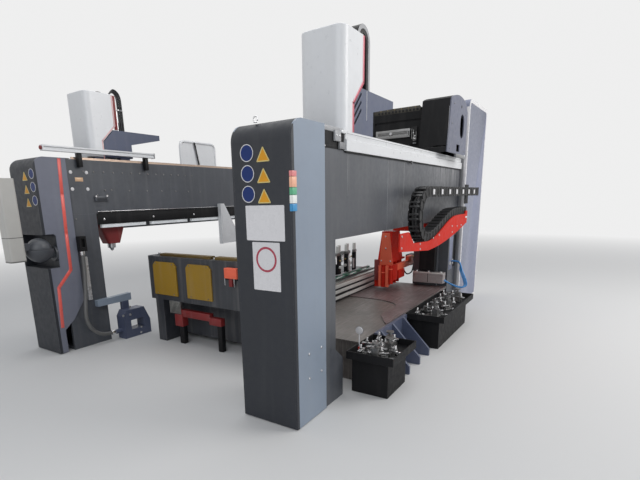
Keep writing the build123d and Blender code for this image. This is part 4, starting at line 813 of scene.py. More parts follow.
def light_world():
    """Soft light from all round, and a plain pale backdrop in what the camera, gloss and glass show."""
    world = bpy.data.worlds.new("soft_studio")
    bpy.context.scene.world = world
    world.use_nodes = True
    tree = world.node_tree
    tree.nodes.clear()
    rays = tree.nodes.new("ShaderNodeLightPath").outputs
    mirrored = calc(tree, "MAXIMUM", rays["Is Glossy Ray"], rays["Is Transmission Ray"])
    seen = calc(tree, "MAXIMUM", rays["Is Camera Ray"], mirrored)
    soft = add_node(tree, "ShaderNodeBackground", Color=SKY_COLOUR, Strength=SKY_STRENGTH)
    backdrop = add_node(tree, "ShaderNodeBackground", Color=BACKDROP, Strength=1.0)
    output = tree.nodes.new("ShaderNodeOutputWorld")
    tree.links.new(mix_shaders(tree, seen, soft, backdrop).outputs[0], output.inputs[0])


def hang_lamp(name, place, target, size, energy, colour):
    data = bpy.data.lights.new(name, "AREA")
    data.size = size
    data.energy = energy
    data.color = colour
    lamp = placed(name, data)
    lamp.location = place
    lamp.rotation_euler = (Vector(target) - Vector(place)).to_track_quat("-Z", "Y").to_euler()


def set_camera():
    yaw, pitch, roll = CAMERA_TURNS
    forward = Vector((math.cos(yaw) * math.cos(pitch), math.sin(yaw) * math.cos(pitch), math.sin(pitch)))
    level = Vector((math.sin(yaw), -math.cos(yaw), 0))
    over = level.cross(forward)
    right = math.cos(roll) * level + math.sin(roll) * over
    top = math.cos(roll) * over - math.sin(roll) * level
    data = bpy.data.cameras.new("photo_camera")
    data.sensor_width = 36.0
    data.lens = 24.627
    data.shift_x = 0.0494
    data.shift_y = 0.0992
    data.clip_start, data.clip_end = 0.05, 200
    camera = placed("photo_camera", data)
    turn = Matrix((right, top, -forward)).transposed().to_4x4()
    camera.matrix_world = Matrix.Translation(at(*CAMERA_PLACE)) @ turn
    bpy.context.scene.camera = camera


# Properties


class MachineLook(PropertyGroup):
    beam_paint: FloatVectorProperty(name="Beam paint", description="Grey of the beams and legs",
                                    subtype="COLOR", size=3, default=(0.072, 0.078, 0.09), min=0, max=1)
    cover_paint: FloatVectorProperty(name="Cover paint", description="Dark textured paint of the end covers",
                                     subtype="COLOR", size=3, default=(0.02, 0.023, 0.03), min=0, max=1)
    side_paint: FloatVectorProperty(name="Side paint", description="Blue grey of the side plates",
                                    subtype="COLOR", size=3, default=(0.25, 0.3, 0.37), min=0, max=1)
    white_paint: FloatVectorProperty(name="White paint", description="White of the tower covers and ducts",
                                     subtype="COLOR", size=3, default=(0.72, 0.73, 0.74), min=0, max=1)
    console_paint: FloatVectorProperty(name="Console paint", description="Warm white of the operator console",
                                       subtype="COLOR", size=3, default=(0.5, 0.49, 0.46), min=0, max=1)
    red_paint: FloatVectorProperty(name="Red paint", description="Red of the welding heads and the chain arm",
                                   subtype="COLOR", size=3, default=(0.56, 0.02, 0.009), min=0, max=1)
    mustard_paint: FloatVectorProperty(name="Mustard paint", description="Yellow of the table's end panels",
                                       subtype="COLOR", size=3, default=(0.33, 0.19, 0.01), min=0, max=1)


class MachineSizes(PropertyGroup):
    sign_radius: FloatProperty(name="Sign radius", description="Radius of the round signs on the end covers",
                               default=0.05, min=0.02, max=0.1, unit="LENGTH")
    screw_radius: FloatProperty(name="Screw radius", description="Radius of the cap screws on the beams",
                                default=0.009, min=0.004, max=0.02, unit="LENGTH")


# Operators


class BuildStage(Operator):
    """Lay the pale floor, light the studio and set the camera"""

    bl_idname = "fsw.stage"
    bl_label = "Stage"

    def execute(self, context):
        lay_floor()
        light_world()
        middle = (0.2, -0.2, 1.0)
        hang_lamp("key_lamp", (2.2, -6.5, 5.0), middle, 4.5, 270, (1.0, 0.98, 0.96))
        hang_lamp("fill_lamp", (-7.5, -3.5, 4.5), middle, 5.0, 130, (0.93, 0.96, 1.0))
        hang_lamp("top_lamp", (0.0, 0.5, 7.5), (0, 0.5, 0), 7.0, 190, (1.0, 1.0, 1.0))
        set_camera()
        return {"FINISHED"}


class ApplyFinishes(Operator):
    """Make the finishes and put them on the frame"""

    bl_idname = "fsw.finishes"
    bl_label = "Finishes"

    def execute(self, context):
        make_finishes(context.scene.fsw_look)
        dress_frame()
        return {"FINISHED"}


HOSE_ROUTE = ((350, 2806, 1000), (350, 2806, 880), (336, 2794, 740), (318, 2786, 590), (292, 2778, 450),
              (275, 2772, 330), (292, 2767, 240), (342, 2763, 164), (417, 2760, 114), (503, 2760, 97),
              (580, 2760, 96))
HOSE_RADIUS = 19


class BuildLegHose(Operator):
    """Hang the grey hose on the far front leg, with its two ferrules"""

    bl_idname = "fsw.leg_hose"
    bl_label = "Leg hose"

    def ferrule(self, name, first, second, radius, length, sides, edges=None):
        """A ring at the hose's end first, lying along the run to second."""
        way = (at(*second) - at(*first)).normalized()
        made = soften(start_round(name, first, way, radius, length, sides), 3, 2, edges or rim_of(way))
        return finished(coated(made, "bright_steel"))

    def execute(self, context):
        hose = coated(round_line("leg_hose_line", HOSE_ROUTE, HOSE_RADIUS, 5, 10), "hose_grey")
        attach(hose, "machine_frame")
        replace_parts(hose, "leg_hose")
        top = self.ferrule("hose_top_ferrule", HOSE_ROUTE[0], HOSE_ROUTE[1], 25, 40, 24)
        foot = self.ferrule("hose_foot_ferrule", HOSE_ROUTE[-1], HOSE_ROUTE[-2], 26, 45, 6, all_edges)
        return {"FINISHED"}


# The chain's path: a level top run, a bend of equal turns, and a low run that lies on the red arm
CHAIN_Y = -147.5
CHAIN_PITCH = 90.0
CHAIN_TOP = 1490.0
CHAIN_TOP_LINKS = 22
CHAIN_ARM_LINKS = 16
CHAIN_BEND_X = DRUM_X - 850.0
CHAIN_BEND_LINKS = 7
CHAIN_TURN = math.pi / CHAIN_BEND_LINKS
CHAIN_RADIUS = CHAIN_PITCH / 2 / math.sin(CHAIN_TURN / 2)
CHAIN_SLOPE_LENGTH = 950.0
CHAIN_RISE = 190.0
MARKED_LINKS = 3


def arm_height(x):
    """The low run's height over the arm, which rises smoothly from one level to another."""
    share = min(max((x - CHAIN_BEND_X) / CHAIN_SLOPE_LENGTH, 0), 1)
    return CHAIN_TOP - 2 * CHAIN_RADIUS + CHAIN_RISE * share * share * (3 - 2 * share)


def top_link_places():
    return [(CHAIN_BEND_X + (n + 0.5) * CHAIN_PITCH, CHAIN_TOP, 0.0) for n in range(CHAIN_TOP_LINKS)]


def low_link_places():
    places = []
    inside = CHAIN_RADIUS * math.cos(CHAIN_TURN / 2)
    for n in range(CHAIN_BEND_LINKS):
        angle = (n + 0.5) * CHAIN_TURN
        places.append((CHAIN_BEND_X - inside * math.sin(angle),
                       CHAIN_TOP - CHAIN_RADIUS + inside * math.cos(angle), angle))
    x, z = CHAIN_BEND_X, arm_height(CHAIN_BEND_X)
    for _ in range(CHAIN_ARM_LINKS):
        slope = math.atan2(arm_height(x + CHAIN_PITCH) - z, CHAIN_PITCH)
        step = Vector((CHAIN_PITCH * math.cos(slope), CHAIN_PITCH * math.sin(slope)))
        places.append((x + step[0] / 2, z + step[1] / 2, slope + math.pi))
        x, z = x + step[0], z + step[1]
    return places


class BuildEnergyChain(Operator):
    """Build the energy chain link by link, with its cables, and let the lower run follow the carriage"""

    bl_idname = "fsw.energy_chain"
    bl_label = "Energy chain"

    def link_piece(self):
        """One link at the working origin: side plates with sunk windows, two bars outside, a lid inside."""
        parts = []
        for low in (-52, 41):
            plate = start_block("link_side", (-49, 49), (low, low + 11), (-46, 46))
            soften(plate, 30, 4, running(PLUS_Y))
            for way in (MINUS_Y, PLUS_Y):
                sink(plate, way, 12, 3)
            parts.append(coated(plate, "black_plastic"))
            parts.append(slab("link_post", (38, 47), (low - 0.5, low + 11.5), (-22, 24), "black_plastic", 3))
        for x in (-36, 4):
            parts.append(slab("link_bar", (x, x + 18), (-43, 43), (34, 46), "bar_plastic", 4))
        parts.append(slab("link_lid", (-38, 38), (-43, 43), (-46, -38), "black_plastic", 4, 1))
        for y, radius, finish in ((-27, 12, "dark_rubber"), (0, 13, "lid_plastic"), (27, 11, "dark_rubber")):
            cable = start_round("link_cable", (-46, y, -12), PLUS_X, radius, 92, 10)
            parts.append(coated(soften(cable, 1, 1, rim_of(PLUS_X)), finish))
        return joined(parts, "link_piece")

    def strand(self, source, places, name, marker=None):
        """Copies of the link at every place, and of the pale marker, where there is one, on some of them."""
        made = []
        for n, (x, z, angle) in enumerate(places):
            turn = turned((x, CHAIN_Y, z), -angle, "Y")
            made.append(copied(source, turn))
            if marker and n % MARKED_LINKS == 1:
                made.append(copied(marker, turn))
        return joined(made, name)

    def execute(self, context):
        source = self.link_piece()
        marker = slab("link_marker", (-26, 26), (-55, -49), (-27, 21), "sign_white", 2)
        upper = self.strand(source, top_link_places(), "energy_chain_upper", marker)
        lower = self.strand(source, low_link_places(), "energy_chain_lower")
        bpy.data.objects.remove(source)
        bpy.data.objects.remove(marker)
        for run in (upper, lower):
            smooth(run)
            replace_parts(run, "side_chain")
        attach(lower, "cross_carriage")
        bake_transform(upper)
        return {"FINISHED"}


SIGN_DEPTH = 1.6
TRIANGLE_LEAN = math.radians(90)
BAND_HEIGHTS = (1612, 1580, 1520, 1478, 1430, 1386)
BAND_FINISHES = ("lamp_red", "lamp_orange", "lamp_green", "lamp_pale", "lamp_blue")


def sign_field(face):
    """Whether a sign's face is its wide middle, which looks out of the cover."""
    return face.normal.x < -0.9 and len(face.vertices) > 8


class BuildCoverSigns(Operator):
    """Fix the blank signs, plates and the signal strip on the two end covers"""

    bl_idname = "fsw.cover_signs"
    bl_label = "Cover signs"

    def round_sign(self, name, y, z, radius):
        sign = coated(start_round(name, (0, y, z), MINUS_X, radius, SIGN_DEPTH, 48), "sign_white")
        sink(sign, MINUS_X, 0.09 * radius, 0.6, 0.4)
        reach = 0.92 * radius / MM
        centre = at(0, y, z)
        return tint(sign, "sign_blue", lambda f: sign_field(f) and (Vector(f.center) - centre).length < reach)

    def triangle_sign(self, name, y, z, radius):
        sign = coated(start_round(name, (0, y, z), MINUS_X, radius, SIGN_DEPTH, 3), "sign_rim")
        sign.data.transform(turned((0, y, z), TRIANGLE_LEAN, "X", (0, y, z)))
        soften(sign, 0.14 * radius, 3, running(MINUS_X))
        sink(sign, MINUS_X, 0.1 * radius, 0.5, 0.4)
        return tint(sign, "sign_amber", sign_field)

    def plate(self, name, y, z):
        plate = coated(start_block(name, (-SIGN_DEPTH, 0), y, z), "sign_white")
        soften(plate, 5, 2, running(MINUS_X))
        return sink(plate, MINUS_X, 4, 0.3, 1.2)

    def ring(self, name, y, z):
        ring = coated(start_round(name, (-1.2, y, z), MINUS_X, 78, 1.0, 48), "edge_red")
        sink(ring, MINUS_X, 13, 0.4, 0.4)
        return tint(ring, "sign_white", lambda f: sign_field(f) and f.area > 0.005)

    def execute(self, context):
        radius = context.scene.fsw_sizes.sign_radius * MM
        near = [self.round_sign("near_sign", 320, z, radius) for z in (1727, 1609, 1490)]
        near += [self.triangle_sign("near_triangle", 199.5, z, 58) for z in (1700, 1581, 1464)]
        near += [self.plate("near_plate", (58, 347), (1213, 1423)),
                 self.plate("near_low_plate", (98, 306), (905, 1204)),
                 self.ring("near_low_plate_ring", 202, 1099)]
        finished(joined(near, "near_cover_signs"))
        far = [self.round_sign("far_sign", y, z, radius * 0.9)
               for y, z in ((2874, 1746), (2875, 1628), (2876, 1507))]
        far += [self.triangle_sign("far_triangle", 3002, z, 55) for z in (1718, 1598, 1478)]
        finished(joined(far, "far_cover_signs"))
        bands = []
        for low, high, finish in zip(BAND_HEIGHTS[1:], BAND_HEIGHTS, BAND_FINISHES):
            for x, y in (((-6, 0), (-5, 16)), ((-6, 40), (-6, 0))):
                bands.append(slab("signal_band", x, y, (low + 1, high - 1), finish, 2))
        finished(joined(bands, "signal_strip"))
        return {"FINISHED"}


class BuildNearPortalFittings(Operator):
    """Fit the seams, plate screws, beam's end box, the duct's bracket, line and clip, and the lifting eye"""

    bl_idname = "fsw.near_portal"
    bl_label = "Near portal fittings"

    def execute(self, context):
        seams = [((x, x + 4), (11.2, 12), (low, 1751), "pale_grey") for x, low in BEAM_SEAMS]
        slabs("beam_seams", seams, 0.3)
        box = slab("beam_end_box", (377, 641.5), (10.4, 60), (1763, 1897.5), "black_paint", 3)
        finished(sink(box, MINUS_Y, 16, 1.5))
        slabs("beam_box_lid", [((372, 642), (8.6, 62), (1868, 1899), "pale_grey")], 3)
        box_corners = [(x, 10.4, z) for x in (392, 627) for z in (1775, 1886)]
        screws("end_box_screws", box_corners, MINUS_Y, 5, 3, "steel")
        slabs("duct_bracket", [((503, 582), (-4, 10.2), (1812, 1878), "pale_grey"),
                               ((566, 641), (-4, 10.2), (1768, 1811), "grey_plastic"),
                               ((584, 660), (-8, 9), (1868, 1888), "white_paint")], 1.5)
        screws("duct_bracket_screws", [(x, -4, 1846) for x in (520, 565)], MINUS_Y, 7, 4, "bright_steel")
        plate_screws = [(x, 0, z) for x in (152, 308) for z in (309, 477)]
        screws("plate_screws", plate_screws, MINUS_Y, 9, 4, "bright_steel")
        slabs("duct_lines", [((660, 3752), (-8.8, -8), (1869, 1871.5), "grey_plastic"),
                             ((662, 3752), (3, 11.9), (1751, 1760.5), "black_plastic"),
                             ((1928, 1952), (-10, -2), (1735, 1764), "black_plastic"),
                             ((1934, 1946), (-12, -8), (1742, 1756), "pale_grey")], 0.3)
        stem = stud("lifting_eye", (55, 286, 1900), UP, 13, 6, "bright_steel")
        eye = ((283, 1904), (270, 1908), (270, 1927), (278, 1934), (294, 1934), (302, 1927), (302, 1908),
               (289, 1904))
        ring = tube_mesh("lifting_eye_ring", [(55, y, z) for y, z in eye], 4, "bright_steel", 3)
        finished(joined([stem, ring], "lifting_eye"))
        return {"FINISHED"}


class BuildFarPortalFittings(Operator):
    """Fit the far portal's caps, boxes, screws, stripe, rail ends and strap, and both low lamp rows"""

    bl_idname = "fsw.far_portal"
    bl_label = "Far portal fittings"

    def low_lamps(self):
        """The dark flange under each inner beam, and the lamps that hang before it."""
        for name, face, way in (("near", SPAN - FAR_FACE, 1), ("far", FAR_FACE, -1)):
            flange = sorted((face + 4 * way, face))
            lamp = sorted((face - 6 * way, face - 50 * way))
            slabs(name + "_lamp_flange", [((586, 3390), flange, (1251, 1364), "black_paint")])
            lamps = [((x, x + 560), lamp, (1214, 1250), "lamp_white") for x in (640, 1280, 1920, 2560)]
            slabs(name + "_low_lamps", lamps, 4)

    def stripe(self):
        """The red stripe down the side plate, of struts that overlap at its corners in two depths."""
        corners = ((257, 1892), (241, 1560), (228, 1186), (222, 828), (76, 669), (57, 272))
        made = []
        for n, (a, b) in enumerate(zip(corners, corners[1:])):
            over = 7 / math.dist(a, b)
            low = (b[0] + over * (b[0] - a[0]), FAR_PLATE, b[1] + over * (b[1] - a[1]))
            deep = 1.2 + 0.2 * (n % 2)
            top = (a[0], FAR_PLATE, a[1])
            made.append(strut("plate_stripe", top, low, 33, deep, MINUS_Y, "stripe_red", 0.3))
        finished(joined(made, "plate_stripe"))

    def execute(self, context):
        box_screws = [(x, FAR_FACE - 18, 1536) for x in (596, 722)]
        screws("small_box_screws", box_screws, MINUS_Y, 9, 4, "bright_steel")
        caps = [stud("beam_cap", (x, FAR_FACE, z), MINUS_Y, 17, 5, "sign_white")
                for x, z in ((362, 1771), (529, 1771), (359, 1610), (522, 1610))]
        finished(joined(caps, "beam_caps"))
        label = ((400, 484), (FAR_FACE - 1.2, FAR_FACE), (1684, 1722), "label_tan")
        slabs("beam_label", [label], 0.5)
        slabs("beam_small_box", [((581, 735), (FAR_FACE - 18, FAR_FACE), (1489, 1541), "beam_paint"),
                                 ((600, 716), (FAR_FACE - 20, FAR_FACE - 17), (1496, 1525), "cover_paint")],
              2)
        rows = [(x, FAR_FACE, z) for x, z in ((621, 1549), (734, 1549), (355, 1320))]
        rows += [(x, FAR_FACE, 1780) for x in range(495, 2000, 113)]
        rows += [(x, FAR_FACE, 1600 - 0.013 * (x - 715))
                 for x in (715, 792, 1015, 1251, 1467, 1680, 1885, 2088)]
        radius = context.scene.fsw_sizes.screw_radius * MM
        screws("far_beam_screws", rows, MINUS_Y, radius, 5, "dark_steel", sides=12)
        self.low_lamps()
        bolts = [(x, FAR_FACE - 4, 1302) for x in (663, 1303, 1943, 2583, 3223)]
        screws("lamp_flange_bolts", bolts, MINUS_Y, 12, 6, "bright_steel")
        self.stripe()
        slabs("far_lamp_rail", [((600, 3390), (FAR_FACE - 4, FAR_FACE), (1381, 1386), "bright_steel"),
                                ((600, 3390), (FAR_FACE - 7, FAR_FACE), (1366, 1380), "black_plastic")],
              1)
        rail_line = ((100, 1340), (2779, 2780), (1984, 1987), "grey_plastic")
        slabs("top_rail_line", [rail_line], 0.3)
        knob = stud("top_rail_knob", (90, 2805, 1975), MINUS_X, 18, 14, "dark_red")
        cap = slab("top_rail_knob", (1342, 1353), (2777, 2833), (1947, 2003), "grey_plastic", 2)
        finished(joined([knob, cap], "top_rail_ends"))
        feet = [((x - 20, x + 20), (2798, 2847), (1818, 1951), "black_plastic") for x in (455, 1249)]
        slabs("top_rail_feet", feet, 2)
        bolts = ((747, 349), (651, 268), (741, 262), (810, 118), (866, 93), (856, 30))
        screws("base_clamp_bolts", [(x, 2695, z) for x, z in bolts], MINUS_Y, 13, 8, "bright_steel")
        strap = strut("window_strap", (2480, 3290, 2262), (2600, 3290, 1700), 24, 6, MINUS_Y, "black_plastic")
        finished(strap)
        return {"FINISHED"}


class BuildTowerFittings(Operator):
    """Trim the two towers: red edges, painted shade in the louvres, the loops' outer bands and the cable
    strands
    """

    bl_idname = "fsw.towers"
    bl_label = "Tower fittings"

    def edge_trim(self, name, shift, y, way, wide, finish, body):
        """The strip along a cover's long edge: upper part, kink and lower part, on the face at y."""
        rows = (((1020, 2560), (1020, 2256)), ((1022, 2261), (857, 2095)), ((859, 2103), (859, 1902)))
        made = []
        for (top_x, top_z), (foot_x, foot_z) in rows:
            top, foot = (top_x + shift, y, top_z), (foot_x + shift, y, foot_z)
            made.append(strut(name, top, foot, wide, 1.4, way, finish, 0.4))
        return finished(joined(made, name), body)

    def louvre_shade_strips(self, name, shift, y, way, body):
        """Three black strips, painted shade in the louvre's slots, that lean as the cover's kink does."""
        lean = math.atan2(162, 161)
        reach = Vector((math.cos(lean), 0, math.sin(lean))) * 72
        made = []
        for drop in (27, 81, 135):
            middle = Vector((945 + shift, y, 2149 - drop))
            made.append(strut(name, middle - reach, middle + reach, 24, 1.2, way, "black_plastic", 0.4))
        return finished(joined(made, name), body)

    def loop_band(self, name, shift, y, body):
        """The pale band outside a chain loop: drawn up, then spun over the crown."""
        band = slab(name, (1131 + shift, 1160 + shift), y, (2219, 2536.5), "pale_grey", 0.4)
        open_mesh(band, faces=lambda f: f.normal.z > 0.9 and f.calc_area() > 1e-5)
        crown = at(1055 + shift, y[0], 2537)
        bpy.ops.mesh.spin(steps=14, angle=math.radians(165), center=crown, axis=(0, 1, 0))
        seal_mesh()
        return finished(band, body)

    def strands(self):
        """The five cables behind the far tower, which rise and bend over to the saddle."""
        made = []
        for n in range(5):
            x, y = 1006 + 12.5 * n, FAR_TOWER_Y + 16 + 5 * (n % 2)
            route = ((x, y, 2217), (x, y, 2330), (x - 2, y, 2450), (x - 5, y, 2545 + 6 * n),
                     (x - 28 - 6 * n, y, 2588 + 8 * n), (935 + 4 * n, y, 2592 + 8 * n),
                     (915 + 2 * n, y + 14, 2560))
            finish = "black_plastic" if n % 2 else "dark_rubber"
            made.append(tube_mesh("far_tower_strands", route, 6.5, finish))
        finished(joined(made, "far_tower_strands"), "far_tower")

    def execute(self, context):
        # Near trim in relief: rose strip is the lit half, painted highlight; red strip the shaded half,
        # painted shade
        self.edge_trim("near_tower_trim", 0, TOWER_Y, MINUS_Y, 14, "trim_painted_highlight", "near_tower")
        self.edge_trim("near_tower_shade_trim", 13, TOWER_Y - 0.4, MINUS_Y, 14, "edge_red", "near_tower")
        self.edge_trim("far_tower_trim", FAR_SHIFT, FAR_TOWER_Y, MINUS_Y, 12, "trim_pink", "far_tower")
        self.edge_trim("far_tower_back_trim", FAR_SHIFT + 1, SPAN - TOWER_Y, PLUS_Y, 25, "edge_red",
                       "far_tower")
        self.louvre_shade_strips("near_louvre_blades", 0, 62, MINUS_Y, "near_tower")
        self.louvre_shade_strips("far_louvre_blades", FAR_SHIFT, SPAN - 62, PLUS_Y, "far_tower")
        self.loop_band("near_loop_band", 0, (62.6, 64.2), "near_tower")
        self.loop_band("far_loop_band", FAR_SHIFT, (SPAN - 64.2, SPAN - 62.6), "far_tower")
        slabs("near_tower_strips", [((1093, 1098), (52.4, 54), (2010, 2215), "sign_white"),
                                    ((1036, 1060), (137, 152), (2217, 2538), "grey_plastic")],
              0.5, "near_tower")
        y = FAR_TOWER_Y
        slabs("far_tower_return", [((941, 972), (y + 2, y + 18), (2222, 2560), "dark_red"),
                                   ((1000, 1062), (y + 18, y + 28), (2217, 2300), "black_plastic"),
                                   ((1000, 1062), (y + 10, y + 32), (2418, 2432), "grey_plastic")],
              1, "far_tower")
        rod = stud("far_tower_rod", (980, y + 12, 2217), UP, 6, 205, "bright_steel", 12)
        finished(rod, "far_tower")
        self.strands()
        strand_screws = [(x, y + 10, 2425) for x in (1004, 1058)]
        screws("far_strand_screws", strand_screws, MINUS_Y, 7, 5, "bright_steel", "far_tower")
        return {"FINISHED"}


class BuildSlideFittings(Operator):
    """Fit the cross slide's guide, end plate, chain band and hose rail, and the drum plate's fittings"""

    bl_idname = "fsw.slide"
    bl_label = "Cross slide fittings"

    def guide(self):
        """The steel guide with a sunk field, a dark end block and a dark line."""
        bar = slab("slide_guide", (2850, 2870), (343, 740), (2088, 2178), "worn_steel", 2.5)
        sink(bar, MINUS_X, 24, 7, 2)
        tint(bar, "dark_steel", lambda f: f.normal.x < -0.9 and f.center.x > at(2855, 0, 0).x)
        rest = slab_list("slide_guide", ((2848.5, 2858), (350, 359), (2111, 2155), "black_plastic", 2),
                         ((2855, 2858), (372, 735), (2131, 2135), "black_plastic", 0.5))
        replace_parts(finished(joined([bar, *rest], "slide_guide"), "cross_arm"), "cross_guide")

    def chain_band(self):
        """The small chain's side: a band with brass dots and black patches for its holes, painted shade of the
        openings, and the block at its end.
        """
        parts = slab_list("slide_chain_band", ((2873, 2880), (250, 780), (2346, 2403), "chain_olive", 2),
                          ((2871, 3010), (770, 812), (2330, 2405), "black_plastic", 4),
                          # Black patches for the holes: painted shade of the openings
                          *[((2871.5, 2874), (y, y + 24), (2356, 2380), "black_plastic", 1)
                            for y in range(262, 740, 40)])
        dots = [((2873, y, 2390), MINUS_X, 4, 3, "brass", 8) for y in range(294, 760, 80)]
        finished(joined(parts + stud_list("slide_chain_band", *dots), "slide_chain_band"),
                 "cross_arm")

    def hose_rail(self):
        """A dark rail with four upright hoses and their fittings."""
        parts = slab_list("slide_hose_rail", ((2853, 2870), (264, 332), (2012, 2190), "black_plastic", 2),
                          ((2846, 2856), (268, 306), (2011, 2024), "grey_plastic", 1))
        for y, low, high, radius in ((300, 2040, 2158, 5), (284, 2040, 2098, 6), (272, 2046, 2136, 4),
                                     (319, 2060, 2170, 4)):
            parts.append(stud("slide_hose_rail", (2849, y, low), UP, radius, high - low, "dark_steel", 12))
        for y, z in ((300, 2066), (284, 2060), (284, 2090), (300, 2120)):
            parts.append(stud("slide_hose_rail", (2849, y, z), UP, 8, 10, "bright_steel", 6))
        finished(joined(parts, "slide_hose_rail"), "cross_arm")

    def execute(self, context):
        self.guide()
        # The bolt's screw has no finish, so it shows in the renderer's plain pale grey
        bolt = [socket_screw("slide_guide_bolt", (2857, 563, 2138), MINUS_X, 14, 13),
                stud("slide_guide_bolt", (2858, 563, 2138), MINUS_X, 22, 4, "dark_steel")]
        finished(joined(bolt, "slide_guide_bolt"), "cross_arm")
        end_plate = ((2866, 3444), (760, 788), (1976, 2352), "black_paint")
        slabs("slide_end_plate", [end_plate], 3, "cross_arm")
        self.chain_band()
        self.hose_rail()
        edge = ((2731, 2737), (-101, -100), (1905, 2330), "pale_grey")
        slabs("drum_plate_edge", [edge], 0.3, "cross_carriage")
        foot = slab_list("drum_plate_foot", ((3060, 3438), (-110, -86), (1856, 1894), "grey_plastic", 3),
                         ((3080, 3300), (-113, -108), (1864, 1884), "worn_steel", 1))
        foot += stud_list("drum_plate_foot", ((3414, -108, 1884), MINUS_Y, 13, 8, "bright_steel"),
                          ((3219, -100, 2388), MINUS_Y, 15, 2, "black_plastic"))
        finished(joined(foot, "drum_plate_foot"), "cross_carriage")
        places = [(x, -100, z)
                  for x, z in ((2819, 1930), (2859, 2180), (2919, 2380), (3399, 1935), (3419, 2330))]
        screws("drum_plate_screws", places, MINUS_Y, 8, 4, "dark_steel", "cross_carriage", 12)
        return {"FINISHED"}


class BuildGuardTrims(Operator):
    """Face the guard panels: a pale rim round a blue grey field, and a pale front edge"""

    bl_idname = "fsw.guards"
    bl_label = "Guard trims"

    def execute(self, context):
        for name, y, way in (("near_guard_face", (-59.6, -58), MINUS_Y),
                             ("near_guard_back", (12, 13.6), PLUS_Y),
                             ("far_guard_face", (3261.4, 3263), MINUS_Y)):
            face = coated(start_block(name, (GUARD_X, GUARD_END), y, (0, GUARD_TOP)), "sign_white")
            soften(face, 90, 6, lambda e: running(PLUS_Y)(e) and e.verts[0].co.z > 1)
            sink(face, way, 40, 1, 2)
            tint(face, "guard_paint", lambda f: abs(f.normal.y) > 0.9 and f.area > 1)
            finished(face)
        strips = ((1, 30, "sign_white"), (30.5, 68, "grey_plastic"))
        edges = [((GUARD_X - 1.4, GUARD_X), (low + a, low + b), (6, GUARD_TOP - 92), finish)
                 for low in (-58, 3263) for a, b, finish in strips]
        slabs("guard_edges", edges, 0.5)
        return {"FINISHED"}


class BuildArmFittings(Operator):
    """Screw the red arm, and lay its pale end strap"""

    bl_idname = "fsw.arm"
    bl_label = "Arm fittings"

    def execute(self, context):
        y = CHAIN_Y - 52.5 - 12.3
        places = [(x, y, z) for x, z in ((1638, 1051), (1644, 1007), (2008, 1070), (2198, 1083), (2656, 1140),
                                         (2670, 1077), (2863, 1127), (3036, 1127), (1190, 1150),
                                         (1190, 1060))]
        screws("arm_screws", places, MINUS_Y, 9, 5, "steel", "cross_carriage")
        slabs("arm_end_strap", [((3212, 3294), (y - 1.5, y + 0.3), (1196, 1214), "sign_white"),
                                ((3286, 3296), (y - 3, y + 0.3), (1150, 1214), "sign_white")],
              0.5, "cross_carriage")
        return {"FINISHED"}


class BuildTableFittings(Operator):
    """Fit the table's clamp, red frame, hanging fins, profile bars and bolts"""

    bl_idname = "fsw.table"
    bl_label = "Table fittings"

    def execute(self, context):
        # The clamp's brightest red is painted light
        slabs("table_clamp", [((800, 850), (1160, 1309), (768, 862), "bright_red"),
                              ((812, 850), (1228, 1268), (690, 770), "dark_red"),
                              ((806, 812), (1308, 1314), (700, 850), "sign_white"),
                              ((806, 812), (1196, 1202), (690, 770), "bright_steel"),
                              ((818, 850), (1160, 1320), (752, 768), "black_paint")], 3)
        slabs("table_red_frame", [((866, 930), (1600, 2010), (296, 372), "dark_red"),
                                  ((856, 940), (1985, 2100), (190, 318), "dark_red"),
                                  ((866, 930), (1450, 1610), (262, 340), "dark_red"),
                                  ((870, 926), (1990, 2060), (0, 200), "black_paint"),
                                  ((870, 926), (1452, 1510), (0, 270), "black_paint")], 8)
        fin = slab("table_fins", (856, 900), (2000, 2006), (325, 462), "aluminium", 1.5)
        finished(repeated(fin, [(856, 2000 + 19 * n, 325) for n in range(9)], "table_fins"))
        ledge = (LEDGE_BACK, LEDGE_END)
        bars = [(ledge, (811, 821), (low, low + 38), "pale_bar") for low in (232, 298, 364, 430, 489)]
        bars += [(ledge, (815, 821), (low, low + 24), "black_plastic") for low in (272, 338, 404, 467)]
        slabs("profile_bars", bars, 3)
        bolts = [(x, y, BRIDGE_TOP) for x, y in ((1000, 2420), (960, 2360), (925, 1530))]
        screws("table_bolts", bolts, UP, 15, 16, "bright_steel", sides=6)
        corners = [(836, y, z) for low, high in ((1515, 1855), (2000, 2348)) for y in (low + 50, high - 50)
                   for z in (535, 844)]
        screws("panel_screws", corners, MINUS_X, 6, 3, "dark_steel", sides=12)
        return {"FINISHED"}


